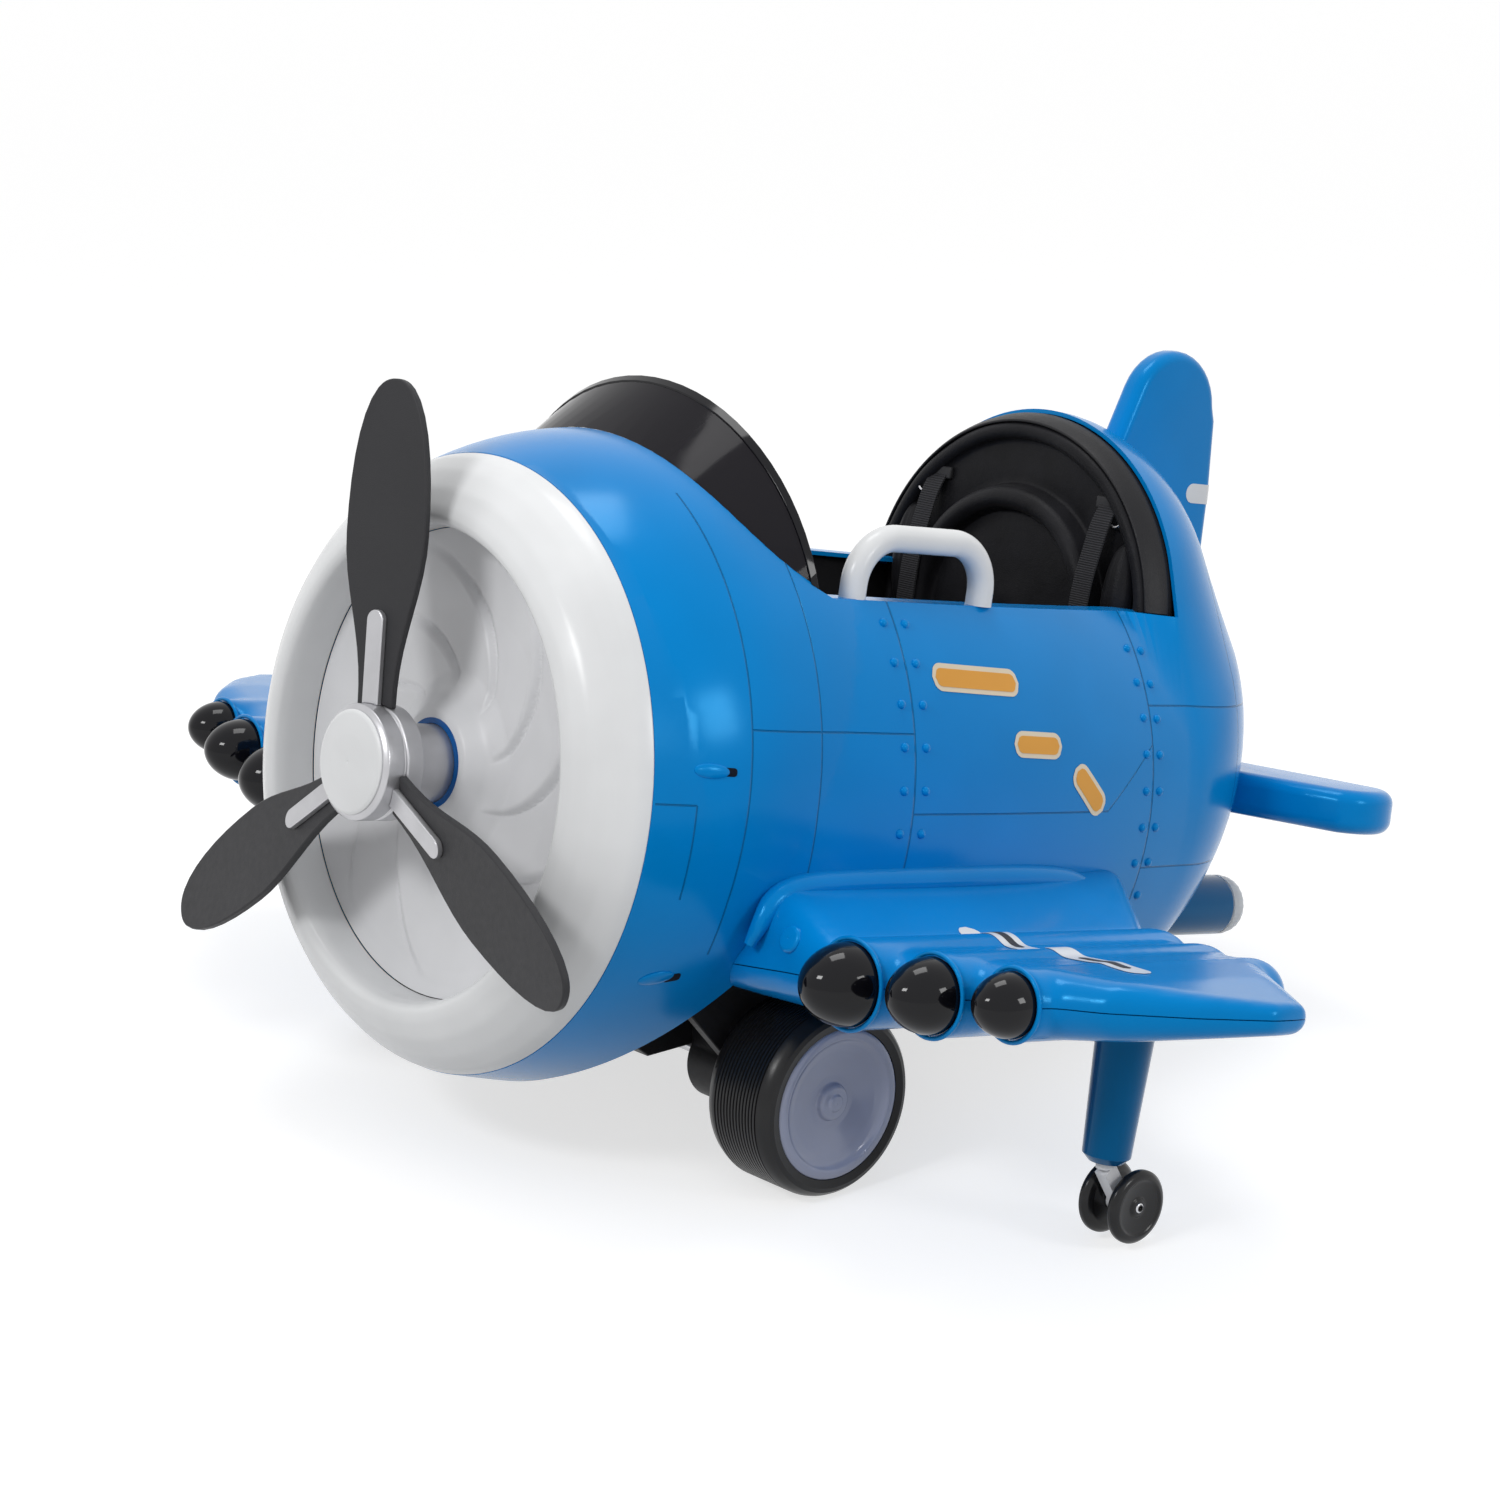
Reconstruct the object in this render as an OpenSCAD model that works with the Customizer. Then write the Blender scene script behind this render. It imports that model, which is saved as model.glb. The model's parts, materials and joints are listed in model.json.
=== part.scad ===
// Electric ride-on toy airplane: a barrel-shaped body pitched nose up on a level chassis,
// with a spinning propeller, two driven wheels, three swivel casters, twin sticks and a padded seat.
// Body pieces are drawn in the body's own frame (x to port, s aft along its axis, h up),
// running-gear pieces in the level frame; both start at the centre of the nose ring.

/* [Stance] */
// Nose-up pitch of the body axis, degrees
nose_pitch = 10.5; // [9:0.5:12]
// Height of the nose ring centre above the floor
ring_height = 352; // [340:1:365]
// Distance from the nose ring back to the middle of the whole toy
ring_to_middle = 412.5; // [400:0.5:430]

/* [Barrel] */
// Radius of the seam between white cowl and blue body
ring_r = 270; // [266:1:276]
// Largest radius of the barrel
barrel_r = 289.5; // [286:0.5:296]
// Distance aft of the ring where the barrel is widest
wide_at = 240; // [200:5:260]
// Radius where the barrel meets the tail shell
rear_r = 264; // [258:1:268]
// Length of the barrel
barrel_len = 610; // [600:1:620]
// Wall of the moulded shells
shell_t = 4; // [3:0.5:5]
// Height of the flat lower edge of the shell, below the body axis
belly_drop = 120; // [112:1:128]

/* [Nose] */
// Height that the front deck rises above the barrel's round
deck_rise = 13; // [8:1:16]
// Depth of the cowl in front of the ring
cowl_depth = 52; // [46:1:58]
// Radius of the round recess in the cowl
recess_r = 205; // [195:1:212]
// Number of moulded vanes on the engine plate
vane_count = 9; // [6:1:12]
// Radius of the bore in the plate's boss
boss_bore_r = 36; // [35.5:0.5:39]

/* [Propeller] */
// Radius of the blade tips
prop_r = 329; // [300:1:334]
// Width of a blade
blade_w = 90; // [76:1:100]
// Thickness of a blade
blade_t = 7; // [5:0.5:9]
// Pitch angle of a blade, degrees
blade_pitch = 12; // [6:1:18]
// Radius of the hub
hub_r = 50; // [47:1:54]
// Radius of the collar that runs in the boss
collar_r = 34; // [31:0.5:35]
// Radius of the steel propeller shaft
shaft_r = 6; // [5:0.5:8]
// Angle of the upper blade from straight up, degrees
prop_angle = -6; // [-20:1:20]

/* [Cockpit] */
// Height of the cockpit rim above the body axis
rim_h = 190; // [182:1:196]
// Where the rim starts, aft of the ring
rim_start = 195; // [188:1:205]
// Width of the flat rim
rim_w = 25; // [25:1:30]
// Half width of the tub inside the liner
tub_half_w = 190; // [180:1:194]
// Front wall of the footwell, aft of the ring
footwell_s = 110; // [106:1:125]
// Wall of the liner
liner_t = 6; // [4:0.5:8]

/* [Windshield] */
// Radius of the smoked sheet
wind_r = 221; // [216:1:226]
// Where the sheet leaves the deck, aft of the ring
wind_front = 102; // [96:1:110]
// Height of the deck there
wind_front_h = 296; // [292:1:300]
// Rise of the sheet's crown per unit of length
wind_rake = 0.864; // [0.8:0.01:0.92]
// Top of the sheet's rear edge, aft of the ring
wind_back = 158; // [150:1:166]
// Thickness of the smoked sheet
wind_t = 3; // [2:0.5:4]

/* [Seat] */
// Radius of the arch behind the seat, outside the shell
arch_r = 203; // [199:1:207]
// Height of the arch centre
arch_h = 160; // [156:1:164]
// Place of the arch's front edge, aft of the ring
arch_s = 672; // [666:1:678]
// Height of the seat box top, from the body axis
seat_h = -30; // [-40:1:-20]
// Depth of the seat cushion, front to back
cushion_len = 196; // [180:1:205]
// Width of the seat cushion
cushion_w = 300; // [260:2:320]
// Thickness of the seat cushion at its crown
cushion_t = 46; // [36:1:50]
// Thickness of the back pad at its inner roll
back_t = 40; // [34:1:44]
// Radius of the back pad's outer edge
back_pad_r = 188; // [184:1:190]
// Radius of the inner roll's centre line
inner_roll_r = 114; // [106:1:120]

/* [Tail] */
// Length of the tail behind the arch
tail_len = 262; // [250:1:275]
// Height of the tail tip above the body axis
tail_tip_h = 98; // [92:1:105]
// Radius of the tail's lower round at the arch
tail_r = 257; // [254:1:260]
// Thickness of the fin
fin_t = 30; // [24:1:36]
// Thickness of the stabilisers
stab_t = 43; // [34:1:46]
// Span of a stabiliser from the centre line
stab_span = 332; // [320:1:350]
// Radius of an exhaust tube
exhaust_r = 30; // [26:1:33]
// Distance of an exhaust tube from the centre line
exhaust_x = 140; // [132:1:148]

/* [Wings] */
// Half span, centre line to wing tip
half_span = 726; // [700:1:740]
// Upward slope of the wing, as a fraction of the span
dihedral = 0.14; // [0.12:0.01:0.16]
// Height of the wing's middle plane where it would cross the centre line
wing_h0 = -155; // [-160:1:-150]
// Thickness of the wing panel
wing_t = 58; // [50:1:64]
// Wall of the wing shells
wing_wall = 4; // [3:0.5:5]
// Span positions of the three nacelles
nacelle_x = [415, 501, 571];
// Front faces of the three nacelles, aft of the ring
nacelle_s = [106, 114, 131];
// Rear ends of the three nacelles
nacelle_end = [508, 465, 444];
// Radii of the three nacelles
nacelle_r = [38, 34.5, 30];

/* [Landing gear] */
// Radius of a drive wheel
tyre_r = 84; // [80:1:86]
// Width of a drive wheel
tyre_w = 82; // [78:1:90]
// Distance of the wheel's outer face from the centre line
tyre_out_x = 312; // [308:1:320]
// Distance of the drive axle behind the nose ring
axle_y = 171; // [165:1:177]
// Radius of the steel drive axle
axle_r = 6; // [5:0.5:7]
// Radial running clearance of shafts in their bores
run_gap = 0.06; // [0.03:0.01:0.09]
// Span position of the wing legs
leg_x = 535; // [530:1:545]
// Place of the legs along the body axis
leg_s = 310; // [304:1:316]
// Length of a leg under the wing
leg_len = 114; // [108:1:118]
// Radius of a leg at its top
leg_r = 25; // [23:0.5:28]
// Radius of a caster wheel
caster_r = 31.5; // [26:0.5:34]
// Width of one caster wheel
caster_w = 13; // [12:0.5:16]
// Height that the wing casters clear the floor by, when the toy stands level
caster_lift = 4.5; // [0:0.5:10]
// Distance of the caster axle behind its swivel axis
caster_trail = 20; // [14:1:24]
// Radius of the caster stem
stem_r = 5; // [4:0.5:7]
// Distance of the tail caster behind the nose ring
tail_caster_y = 600; // [590:1:606]
// Half width of the chassis
chassis_half_w = 150; // [140:1:150]
// Height of the chassis underside above the floor
chassis_clear = 102; // [98:1:106]

/* [Controls] */
// Distance of a stick from the centre line
stick_x = 128; // [118:1:140]
// Length of a stick above its pivot
stick_len = 150; // [130:1:160]
// Radius of a push button
button_r = 13; // [11:0.5:15]
// Travel of a push button
button_travel = 4; // [3:0.5:5]
// Radius of the charging socket's bore
socket_r = 2.75; // [2.5:0.05:3]
// Place of the charging socket under the tail, aft of the ring
socket_s = 716; // [706:1:726]

/* [Handles] */
// Outer radius of the handle tube
handle_r = 12; // [10:0.5:12.5]
// Distance between the feet of a handle
handle_span = 155; // [140:1:165]
// Height of the handle's centre line above the rim
handle_rise = 54; // [48:1:60]
// Bend radius of the handle
handle_bend = 42; // [34:1:44]
// Front foot of the handle, aft of the ring
handle_s = 246; // [240:1:255]

/* [Hidden] */
$fn = 64;
gap = 0.3;
floor_z = -ring_height;
belly_h = -belly_drop;
belly_t = 4;
cp = cos(nose_pitch);
sp = sin(nose_pitch);
cowl_lip_r = recess_r + 8;
plate_s = -8;
plate_t = 4;
boss_s = -cowl_depth / 2;
boss_r = boss_bore_r + 10;
collar_back_s = boss_s + 6;
hub_back_s = -68;
hub_front_s = -109;
hub_groove_s = -88;
cap_r = hub_r - 4;
blade_s = hub_groove_s + 1;
motor_r = 38;
motor_len = 70;
barrel_steps = 14;
tail_steps = 12;
tail_sides = 48;
handle_x = sqrt(pow(barrel_at(handle_s), 2) - pow(rim_h, 2)) - rim_w / 2;
tub_floor_h = belly_h + liner_t;
tub_top_h = tub_floor_h + belly_t;
bulkhead_s = arch_s - 4;
arch_inner_r = arch_r - shell_t;
pad_face_s = bulkhead_s - gap;
roll_r = 8;
pad_foot_h = seat_h + cushion_t + 4;
strap_x = 118;
strap_w = 24;
strap_t = 2.4;
strap_s = pad_face_s - back_t - gap;
lap_h = pad_foot_h - 6;
wind_lean = 0.197;
chassis_z = floor_z + chassis_clear;
chassis_front = 96;
chassis_back = 668;
axle_z = floor_z + tyre_r;
bracket_t = 12;
tyre_in_x = tyre_out_x - tyre_w;
bracket_x = tyre_in_x - bracket_t - 10;
cover_r = tyre_r - 19;
caster_gap = 18;
leg_top_h = wing_mid(leg_x) - wing_t / 2;
leg_foot_h = leg_top_h - leg_len;
leg_foot_y = leg_s * cp + leg_foot_h * sp;
leg_foot_z = -leg_s * sp + leg_foot_h * cp;
collar_z = leg_foot_z - 5;
collar_r2 = caster_gap / 2 - 1;
dash_face_s = 226;
dash_face_h = 146;
dash_tilt = 4;
stick_s = 300;
stick_h = 6;
exhaust_h = -107;
exhaust_end = 866;

function barrel_at(s) = s < wide_at
    ? barrel_r - (barrel_r - ring_r) * pow((wide_at - s) / wide_at, 2)
    : barrel_r - (barrel_r - rear_r) * pow((s - wide_at) / (barrel_len - wide_at), 2);
function wing_mid(x) = wing_h0 + dihedral * x;
// Top of the raised deck in front of the windshield
function deck_top(s) = s < 130
    ? ring_r + 31 * (1 - pow((130 - s) / 130, 2))
    : ring_r + 31 - 3 * pow((s - 130) / 70, 2);
// Height in the body frame, at s, of a level plane z
function level_h(z, s) = (z + s * sp) / cp;

module body_frame() translate([0, -ring_to_middle, ring_height]) rotate([-nose_pitch, 0, 0]) children();
module level_frame() translate([0, -ring_to_middle, ring_height]) children();
module along_s() rotate([-90, 0, 0]) children();
module along_x() rotate([0, 90, 0]) children();
module mirrored(side) mirror([side < 0 ? 1 : 0, 0, 0]) children();
// A side-view outline in (s, h), extruded between two x values
module side_plate(x0, x1) translate([x0, 0, 0]) rotate([90, 0, 90]) linear_extrude(x1 - x0) children();
module as_mesh() resize([0, 0, 0]) children();

module barrel_solid(inset, s0, s1) along_s() rotate_extrude($fn = 96) polygon(concat([[0, s0]],
    [for (i = [0:barrel_steps]) let (s = s0 + (s1 - s0) * i / barrel_steps) [barrel_at(s) - inset, s]],
    [[0, s1]]));

module deck_solid(inset, s0, s1) translate([0, 0, deck_rise]) along_s() rotate_extrude($fn = 96)
    polygon(concat([[0, s0]], [for (i = [0:barrel_steps]) let (s = s0 + (s1 - s0) * i / barrel_steps)
        [deck_top(s) - deck_rise - inset, s]], [[0, s1]]));

// Nose

module nose_cowl() color("white") body_frame() along_s() rotate_extrude($fn = 96) polygon([
    [ring_r, 0], [ring_r - 5, -12], [ring_r - 17, -cowl_depth * 0.52], [ring_r - 33, -cowl_depth * 0.8],
    [cowl_lip_r + 10, -cowl_depth + 2], [cowl_lip_r, -cowl_depth], [recess_r + 2, -cowl_depth + 4],
    [recess_r, plate_s], [recess_r + 4, plate_s], [recess_r + 6, -cowl_depth + 9],
    [cowl_lip_r + 8, -cowl_depth + 8], [ring_r - 35, -cowl_depth * 0.8 + 6],
    [ring_r - 20, -cowl_depth * 0.52 + 4], [ring_r - shell_t - 4, -9], [ring_r - shell_t, 0]]);

module engine_plate() color("gainsboro") body_frame() {
    along_s() rotate_extrude($fn = 96) polygon([
        [boss_bore_r, boss_s], [boss_r, boss_s], [boss_r + 14, boss_s + 14], [boss_r + 34, plate_s + 7],
        [recess_r - 70, plate_s + 10], [recess_r - 24, plate_s + 5], [recess_r + 4, plate_s],
        [recess_r + 4, plate_s + plate_t], [recess_r - 24, plate_s + 5 + plate_t],
        [recess_r - 70, plate_s + 10 + plate_t], [boss_r + 34, plate_s + 22], [boss_bore_r, plate_s + 22]]);
    for (i = [0:vane_count - 1]) rotate([0, i * 360 / vane_count + 14, 0]) vane();
}

// One curved vane, half sunk in the plate between the boss and the rim
module vane() {
    bend = recess_r * 0.62;
    translate([bend * 0.9, plate_s + 13, boss_r + 34]) rotate([-6, 0, 0]) rotate([-90, 0, 0])
        rotate([0, 0, 182]) rotate_extrude(angle = 42) translate([bend, 0]) circle(r = 9, $fn = 32);
}

module prop_motor() color("dimgray") body_frame() along_s() difference() {
    union() {
        translate([0, 0, plate_s + 22]) cylinder(r = motor_r, h = motor_len);
        translate([0, 0, plate_s + 22 + motor_len]) cylinder(r = motor_r / 2, h = 8);
    }
    translate([0, 0, plate_s + 21]) cylinder(r = shaft_r + run_gap, h = motor_len - 10);
}

module prop_shaft() color("silver") body_frame() along_s()
    translate([0, 0, hub_back_s]) cylinder(r = shaft_r, h = motor_len + 2 - hub_back_s);

module prop_hub() color("silver") body_frame() along_s() rotate_extrude($fn = 96) polygon([
    [shaft_r, collar_back_s], [collar_r, collar_back_s], [collar_r, hub_back_s], [hub_r - 2, hub_back_s],
    [hub_r, hub_back_s - 2], [hub_r, hub_groove_s + 2], [hub_r - 3, hub_groove_s],
    [hub_r, hub_groove_s - 2], [hub_r, hub_front_s + 4], [cap_r, hub_front_s], [0, hub_front_s],
    [0, hub_back_s], [shaft_r, hub_back_s]]);

module hub_cap() color("whitesmoke") body_frame() along_s() rotate_extrude($fn = 96) polygon([
    [0, hub_front_s], [cap_r - 1, hub_front_s], [cap_r - 1, hub_front_s - 1.5], [cap_r - 4, hub_front_s - 3],
    [cap_r / 2, hub_front_s - 4], [0, hub_front_s - 4.5]]);

// Narrow at the root, widest past the middle, with a full round tip
function blade_half(r) = r < prop_r * 0.6
    ? blade_w * (0.22 + 0.28 * pow(0.5 - 0.5 * cos(180 * (r - hub_r) / (prop_r * 0.6 - hub_r)), 1.2))
    : blade_w / 2 * pow(max(0, 1 - pow((r - prop_r * 0.6) / (prop_r * 0.4), 2.3)), 1 / 2.3);
blade_stations = concat([for (i = [0:9]) hub_r + (prop_r * 0.6 - hub_r) * i / 9],
    [for (a = [10:10:70]) prop_r * (0.6 + 0.4 * sin(a))], [for (a = [76:4:88]) prop_r * (0.6 + 0.4 * sin(a))]);
module blade_outline() polygon(concat([for (r = blade_stations) [blade_half(r), r]],
    [for (i = [len(blade_stations) - 1:-1:0]) [-blade_half(blade_stations[i]), blade_stations[i]]]));

// A blade, cut back to the round of the hub
module prop_blade() difference() {
    translate([0, blade_s, 0]) rotate([0, 0, blade_pitch]) rotate([90, 0, 0])
        linear_extrude(blade_t, center = true) translate([0, -3]) blade_outline();
    along_s() translate([0, 0, hub_front_s]) cylinder(r = hub_r, h = hub_back_s - hub_front_s);
}

module at_blades() for (k = [0:2]) rotate([0, prop_angle + 120 * k, 0]) children();

module prop_blades() color("#2b2b2d") body_frame() at_blades() prop_blade();

module blade_bars() color("silver") body_frame() at_blades() difference() {
    translate([0, blade_s, 0]) rotate([0, 0, blade_pitch]) translate([0, -blade_t / 2, 0]) union() {
        translate([-9, -6, hub_r - 8]) cube([18, 6, 79]);
        translate([0, 0, hub_r + 71]) rotate([90, 0, 0]) cylinder(r = 9, h = 6);
    }
    along_s() translate([0, 0, hub_front_s]) cylinder(r = hub_r, h = hub_back_s - hub_front_s);
}

// Shells

module cockpit_cut() side_plate(-barrel_r - 9, barrel_r + 9) polygon([
    [wind_front + 4, barrel_r + 14], [wind_front + 30, barrel_r - 26], [rim_start - 2, rim_h + 12],
    [rim_start + 14, rim_h], [arch_s, rim_h], [arch_s, barrel_r + 110], [wind_front + 4, barrel_r + 110]]);

// Below the shell's lower edge, which rises behind the nose to clear the drive wheels
module belly_cut() side_plate(-barrel_r - 9, barrel_r + 9) polygon([
    [48, -barrel_r - 9], [61, -belly_drop - 135], [146, belly_h], [barrel_len + 400, belly_h],
    [barrel_len + 400, -barrel_r - 9]]);

module fuselage_shell() color("#0077c4") body_frame() difference() {
    union() {
        difference() {
            union() {
                barrel_solid(0, 0, barrel_len);
                deck_solid(0, 1, 300);
            }
            barrel_solid(shell_t, -1, barrel_len + 1);
            deck_solid(shell_t, -1, 301);
        }
        cockpit_rim();
    }
    cockpit_cut();
    belly_cut();
}

// The flat rim that the handles stand on
module cockpit_rim() intersection() {
    barrel_solid(1, rim_start - 6, barrel_len);
    for (side = [-1, 1]) mirrored(side) translate([0, 0, rim_h - shell_t]) linear_extrude(shell_t) polygon(
        [for (i = [0:8]) let (s = rim_start - 6 + (barrel_len - rim_start + 6) * i / 8) [rim_inner(s), s],
        [barrel_r, barrel_len], [barrel_r, rim_start - 6]]);
}
function rim_inner(s) = sqrt(pow(barrel_at(s), 2) - pow(rim_h, 2)) - rim_w;

// A tail section is the outline round a lower circle and the upper circle of the seat arch.
// It grows out of the barrel's round up to the arch, then closes in to the tail tip.
function tail_t(s) = max(0, (s - arch_s) / tail_len);
function tail_v(s) = min(1, (s - barrel_len) / (arch_s - barrel_len));
function tail_low_r(s) = (rear_r + (tail_r - rear_r) * tail_v(s)) * pow(1 - pow(tail_t(s), 2.26), 1.09);
function tail_low_h(s) = 3 * tail_v(s) + (tail_tip_h - 3) * tail_t(s);
function tail_top_r(s) = arch_r * pow(1 - pow(tail_t(s), 2), 1.32);
function tail_top_h(s) = rear_r - arch_r + (arch_h - rear_r + arch_r) * tail_v(s)
    + (tail_tip_h - arch_h) * pow(tail_t(s), 2.27);
function tail_point(s, a, inset) =
    let (rl = tail_low_r(s) - inset, ru = tail_top_r(s) - inset, hl = tail_low_h(s), hu = tail_top_h(s))
    ru + hu * cos(a) > rl + hl * cos(a) ? [ru * sin(a), hu + ru * cos(a)] : [rl * sin(a), hl + rl * cos(a)];
function tail_station(i) = i < 3
    ? barrel_len + gap + (arch_s - barrel_len - gap) * i / 3
    : arch_s + tail_len * 0.965 * sin(90 * (i - 3) / (tail_steps - 3));

// The tail as a solid, set in by a wall; last_t shortens it, lead carries its front face forward
module tail_solid(inset, lead, last_t) {
    rings = tail_steps;
    points = [for (i = [0:rings]) let (s = arch_s + (tail_station(i) - arch_s) * (i > 3 ? last_t : 1))
        for (j = [0:tail_sides - 1]) let (q = tail_point(s, 360 * j / tail_sides, inset))
        [q[0], s - (i == 0 ? lead : 0), q[1]]];
    sides = [for (i = [0:rings - 1]) for (j = [0:tail_sides - 1])
        let (k = (j + 1) % tail_sides, a = i * tail_sides, b = a + tail_sides)
        each [[a + j, b + j, b + k], [a + j, b + k, a + k]]];
    front = [[for (j = [0:tail_sides - 1]) j]];
    back = [[for (j = [tail_sides - 1:-1:0]) rings * tail_sides + j]];
    polyhedron(points, concat(sides, front, back), convexity = 4);
}

module exhaust_bores(r) for (side = [-1, 1]) translate([side * exhaust_x, 0, exhaust_h]) along_s()
    translate([0, 0, barrel_len + 20]) cylinder(r = r, h = tail_len, $fn = 48);

module tail_shell() color("#0077c4") body_frame() as_mesh() difference() {
    tail_solid(0, 0, 1);
    tail_solid(shell_t, 2, 0.985);
    cockpit_cut();
    belly_cut();
    exhaust_bores(exhaust_r + gap);
}

// Flat black underside, closing the shell between its lower edges
function pan_half(s) = sqrt(max(0, pow(tail_low_r(s) - shell_t - gap, 2) - pow(belly_h - tail_low_h(s), 2)));
module belly_pan() color("#1c1c1e") body_frame() difference() {
    union() {
        intersection() {
            barrel_solid(shell_t + gap, 140, barrel_len);
            side_plate(-barrel_r, barrel_r) polygon([[152, belly_h], [152, belly_h + belly_t],
                [barrel_len, belly_h + belly_t], [barrel_len, belly_h]]);
        }
        translate([0, 0, belly_h]) linear_extrude(belly_t) polygon(concat(
            [for (i = [0:8]) let (s = barrel_len - 1 + 185 * i / 8) [pan_half(max(s, barrel_len)) - 3, s]],
            [for (i = [8:-1:0]) let (s = barrel_len - 1 + 185 * i / 8) [3 - pan_half(max(s, barrel_len)), s]]));
    }
    exhaust_bores(exhaust_r + gap);
    translate([0, socket_s, belly_h - 1]) cylinder(r = 8 + gap, h = belly_t + 2);
}

// The moulded tub, with its back wall rising into the arch behind the seat
module cockpit_liner() color("#1c1c1e") body_frame() {
    difference() {
        intersection() {
            barrel_solid(shell_t + 4 * gap, footwell_s - liner_t, bulkhead_s + liner_t);
            side_plate(-barrel_r, barrel_r) polygon([
                [footwell_s - liner_t, belly_h + belly_t], [bulkhead_s + liner_t, belly_h + belly_t],
                [bulkhead_s + liner_t, rim_h - shell_t], [dash_face_s + 6, rim_h - shell_t],
                [dash_face_s + 6, dash_face_h - 50], [footwell_s - liner_t, dash_face_h - 50]]);
        }
        tub_space();
    }
    difference() {
        translate([0, bulkhead_s, arch_h]) along_s() cylinder(r = arch_inner_r - 5 * gap, h = liner_t, $fn = 96);
        translate([-barrel_r, 0, -barrel_r]) cube([2 * barrel_r, 2 * barrel_len, barrel_r + rim_h - shell_t]);
    }
}

module tub_space() translate([0, 0, tub_top_h]) linear_extrude(barrel_r + rim_h)
    for (side = [-1, 1]) mirrored(side) polygon([[-1, footwell_s], [tub_half_w - 40, footwell_s],
        [tub_half_w - 20, footwell_s + 60], [tub_half_w, dash_face_s + 40], [tub_half_w, 480],
        [tub_half_w - 14, bulkhead_s], [-1, bulkhead_s]]);

module dashboard() color("#242426") body_frame() difference() {
    intersection() {
        barrel_solid(shell_t + gap, 118, dash_face_s + 4);
        side_plate(-barrel_r, barrel_r) polygon([[128, barrel_r - 34], [140, barrel_r - 34],
            [dash_face_s - 14, rim_h - 8], [dash_face_s + 4, rim_h - 12], [dash_face_s, dash_face_h - 46],
            [dash_face_s - 6, dash_face_h - 46], [dash_face_s - 3, rim_h - 18], [dash_face_s - 20, rim_h - 16],
            [134, barrel_r - 42], [128, barrel_r - 42]]);
    }
    for (x = [-60, 60]) at_dash(x) translate([0, 0, -30]) cylinder(r = button_r + gap, h = 60);
    for (side = [-1, 1]) mirrored(side)
        translate([rim_inner(rim_start - 6) - gap, rim_start - 6 - gap, rim_h - shell_t - gap]) cube([80, 60, 20]);
}

// A place on the dashboard's face, with its +Z pointing aft at the driver
module at_dash(x) translate([x, dash_face_s + 2, dash_face_h]) rotate([-90 + dash_tilt, 0, 0]) children();

module push_button() {
    translate([0, 0, -16]) cylinder(r = button_r, h = 16 + 8);
    translate([0, 0, 8]) cylinder(r1 = button_r, r2 = button_r - 3, h = 2);
    translate([0, 0, -16]) cylinder(r = button_r + 3, h = 3);
}
module start_button() color("crimson") body_frame() at_dash(-60) push_button();
module horn_button() color("goldenrod") body_frame() at_dash(60) push_button();

// Charging socket: a round barrel through the belly pan under the tail, with a nut behind it
module charge_socket() color("#3a3a3d") body_frame() translate([0, socket_s, belly_h]) rotate([180, 0, 0])
    difference() {
        union() {
            translate([0, 0, -22]) cylinder(r = 8, h = 25);
            translate([0, 0, gap]) cylinder(r = 11, h = 4 - gap);
            translate([0, 0, -belly_t - gap - 6]) cylinder(r = 12, h = 6);
        }
        translate([0, 0, -12]) cylinder(r = socket_r, h = 20);
    }

// The smoked sheet is cut from a leaning round tube
module wind_form(inset) hull() for (s = [wind_front - 46, wind_front + 112])
    translate([0, s, wind_front_h + (s - wind_front) * wind_rake - wind_r]) along_s()
        cylinder(r = wind_r - inset, h = 1, $fn = 72);
// Everything aft of the hoop's leaning plane
module behind_hoop(shift) side_plate(-barrel_r - 9, barrel_r + 9) polygon([
    [wind_back + shift - 150 * wind_lean, 500], [wind_back + shift + 350 * wind_lean, 0], [600, 0], [600, 500]]);
module under_windshield() {
    barrel_solid(-gap, 30, 262);
    deck_solid(-gap, 30, 262);
    translate([-barrel_r, 0, -barrel_r]) cube([2 * barrel_r, barrel_len, barrel_r + rim_h + gap]);
}

module windshield() color([0.08, 0.08, 0.1, 0.75]) body_frame() as_mesh() difference() {
    wind_form(0);
    wind_form(wind_t);
    translate([0, 3, 0]) wind_form(wind_t);
    translate([0, -3, 0]) wind_form(wind_t);
    behind_hoop(0);
    under_windshield();
}

module windshield_hoop() color("#151517") body_frame() as_mesh() difference() {
    intersection() {
        wind_form(-1.5);
        behind_hoop(gap);
    }
    wind_form(wind_t + 2);
    translate([0, 6, 0]) wind_form(wind_t + 2);
    behind_hoop(7);
    under_windshield();
}

// Handles

module handle_tube() {
    top = handle_rise;
    for (s = [0, handle_span]) translate([0, s, 0]) cylinder(r = handle_r, h = top - handle_bend);
    translate([0, handle_bend, top]) along_s() cylinder(r = handle_r, h = handle_span - 2 * handle_bend);
    translate([0, handle_bend, top - handle_bend]) rotate([90, 0, -90]) elbow();
    translate([0, handle_span - handle_bend, top - handle_bend]) rotate([90, 0, 90]) elbow();
}
module elbow() rotate_extrude(angle = 90) translate([handle_bend, 0]) circle(r = handle_r);

module grab_handles() color("whitesmoke") body_frame() for (side = [-1, 1]) mirrored(side)
    translate([handle_x, handle_s, rim_h]) handle_tube();

// Seat

module seat_box() color("#202022") body_frame() {
    front = bulkhead_s - cushion_len - 6;
    floor_h = tub_top_h;
    difference() {
        translate([-cushion_w / 2, front, floor_h])
            cube([cushion_w, bulkhead_s - front, seat_h - floor_h]);
        translate([-cushion_w / 2 + 5, front + 5, floor_h - 1])
            cube([cushion_w - 10, bulkhead_s - front - 10, seat_h - floor_h - 4]);
    }
}

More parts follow.
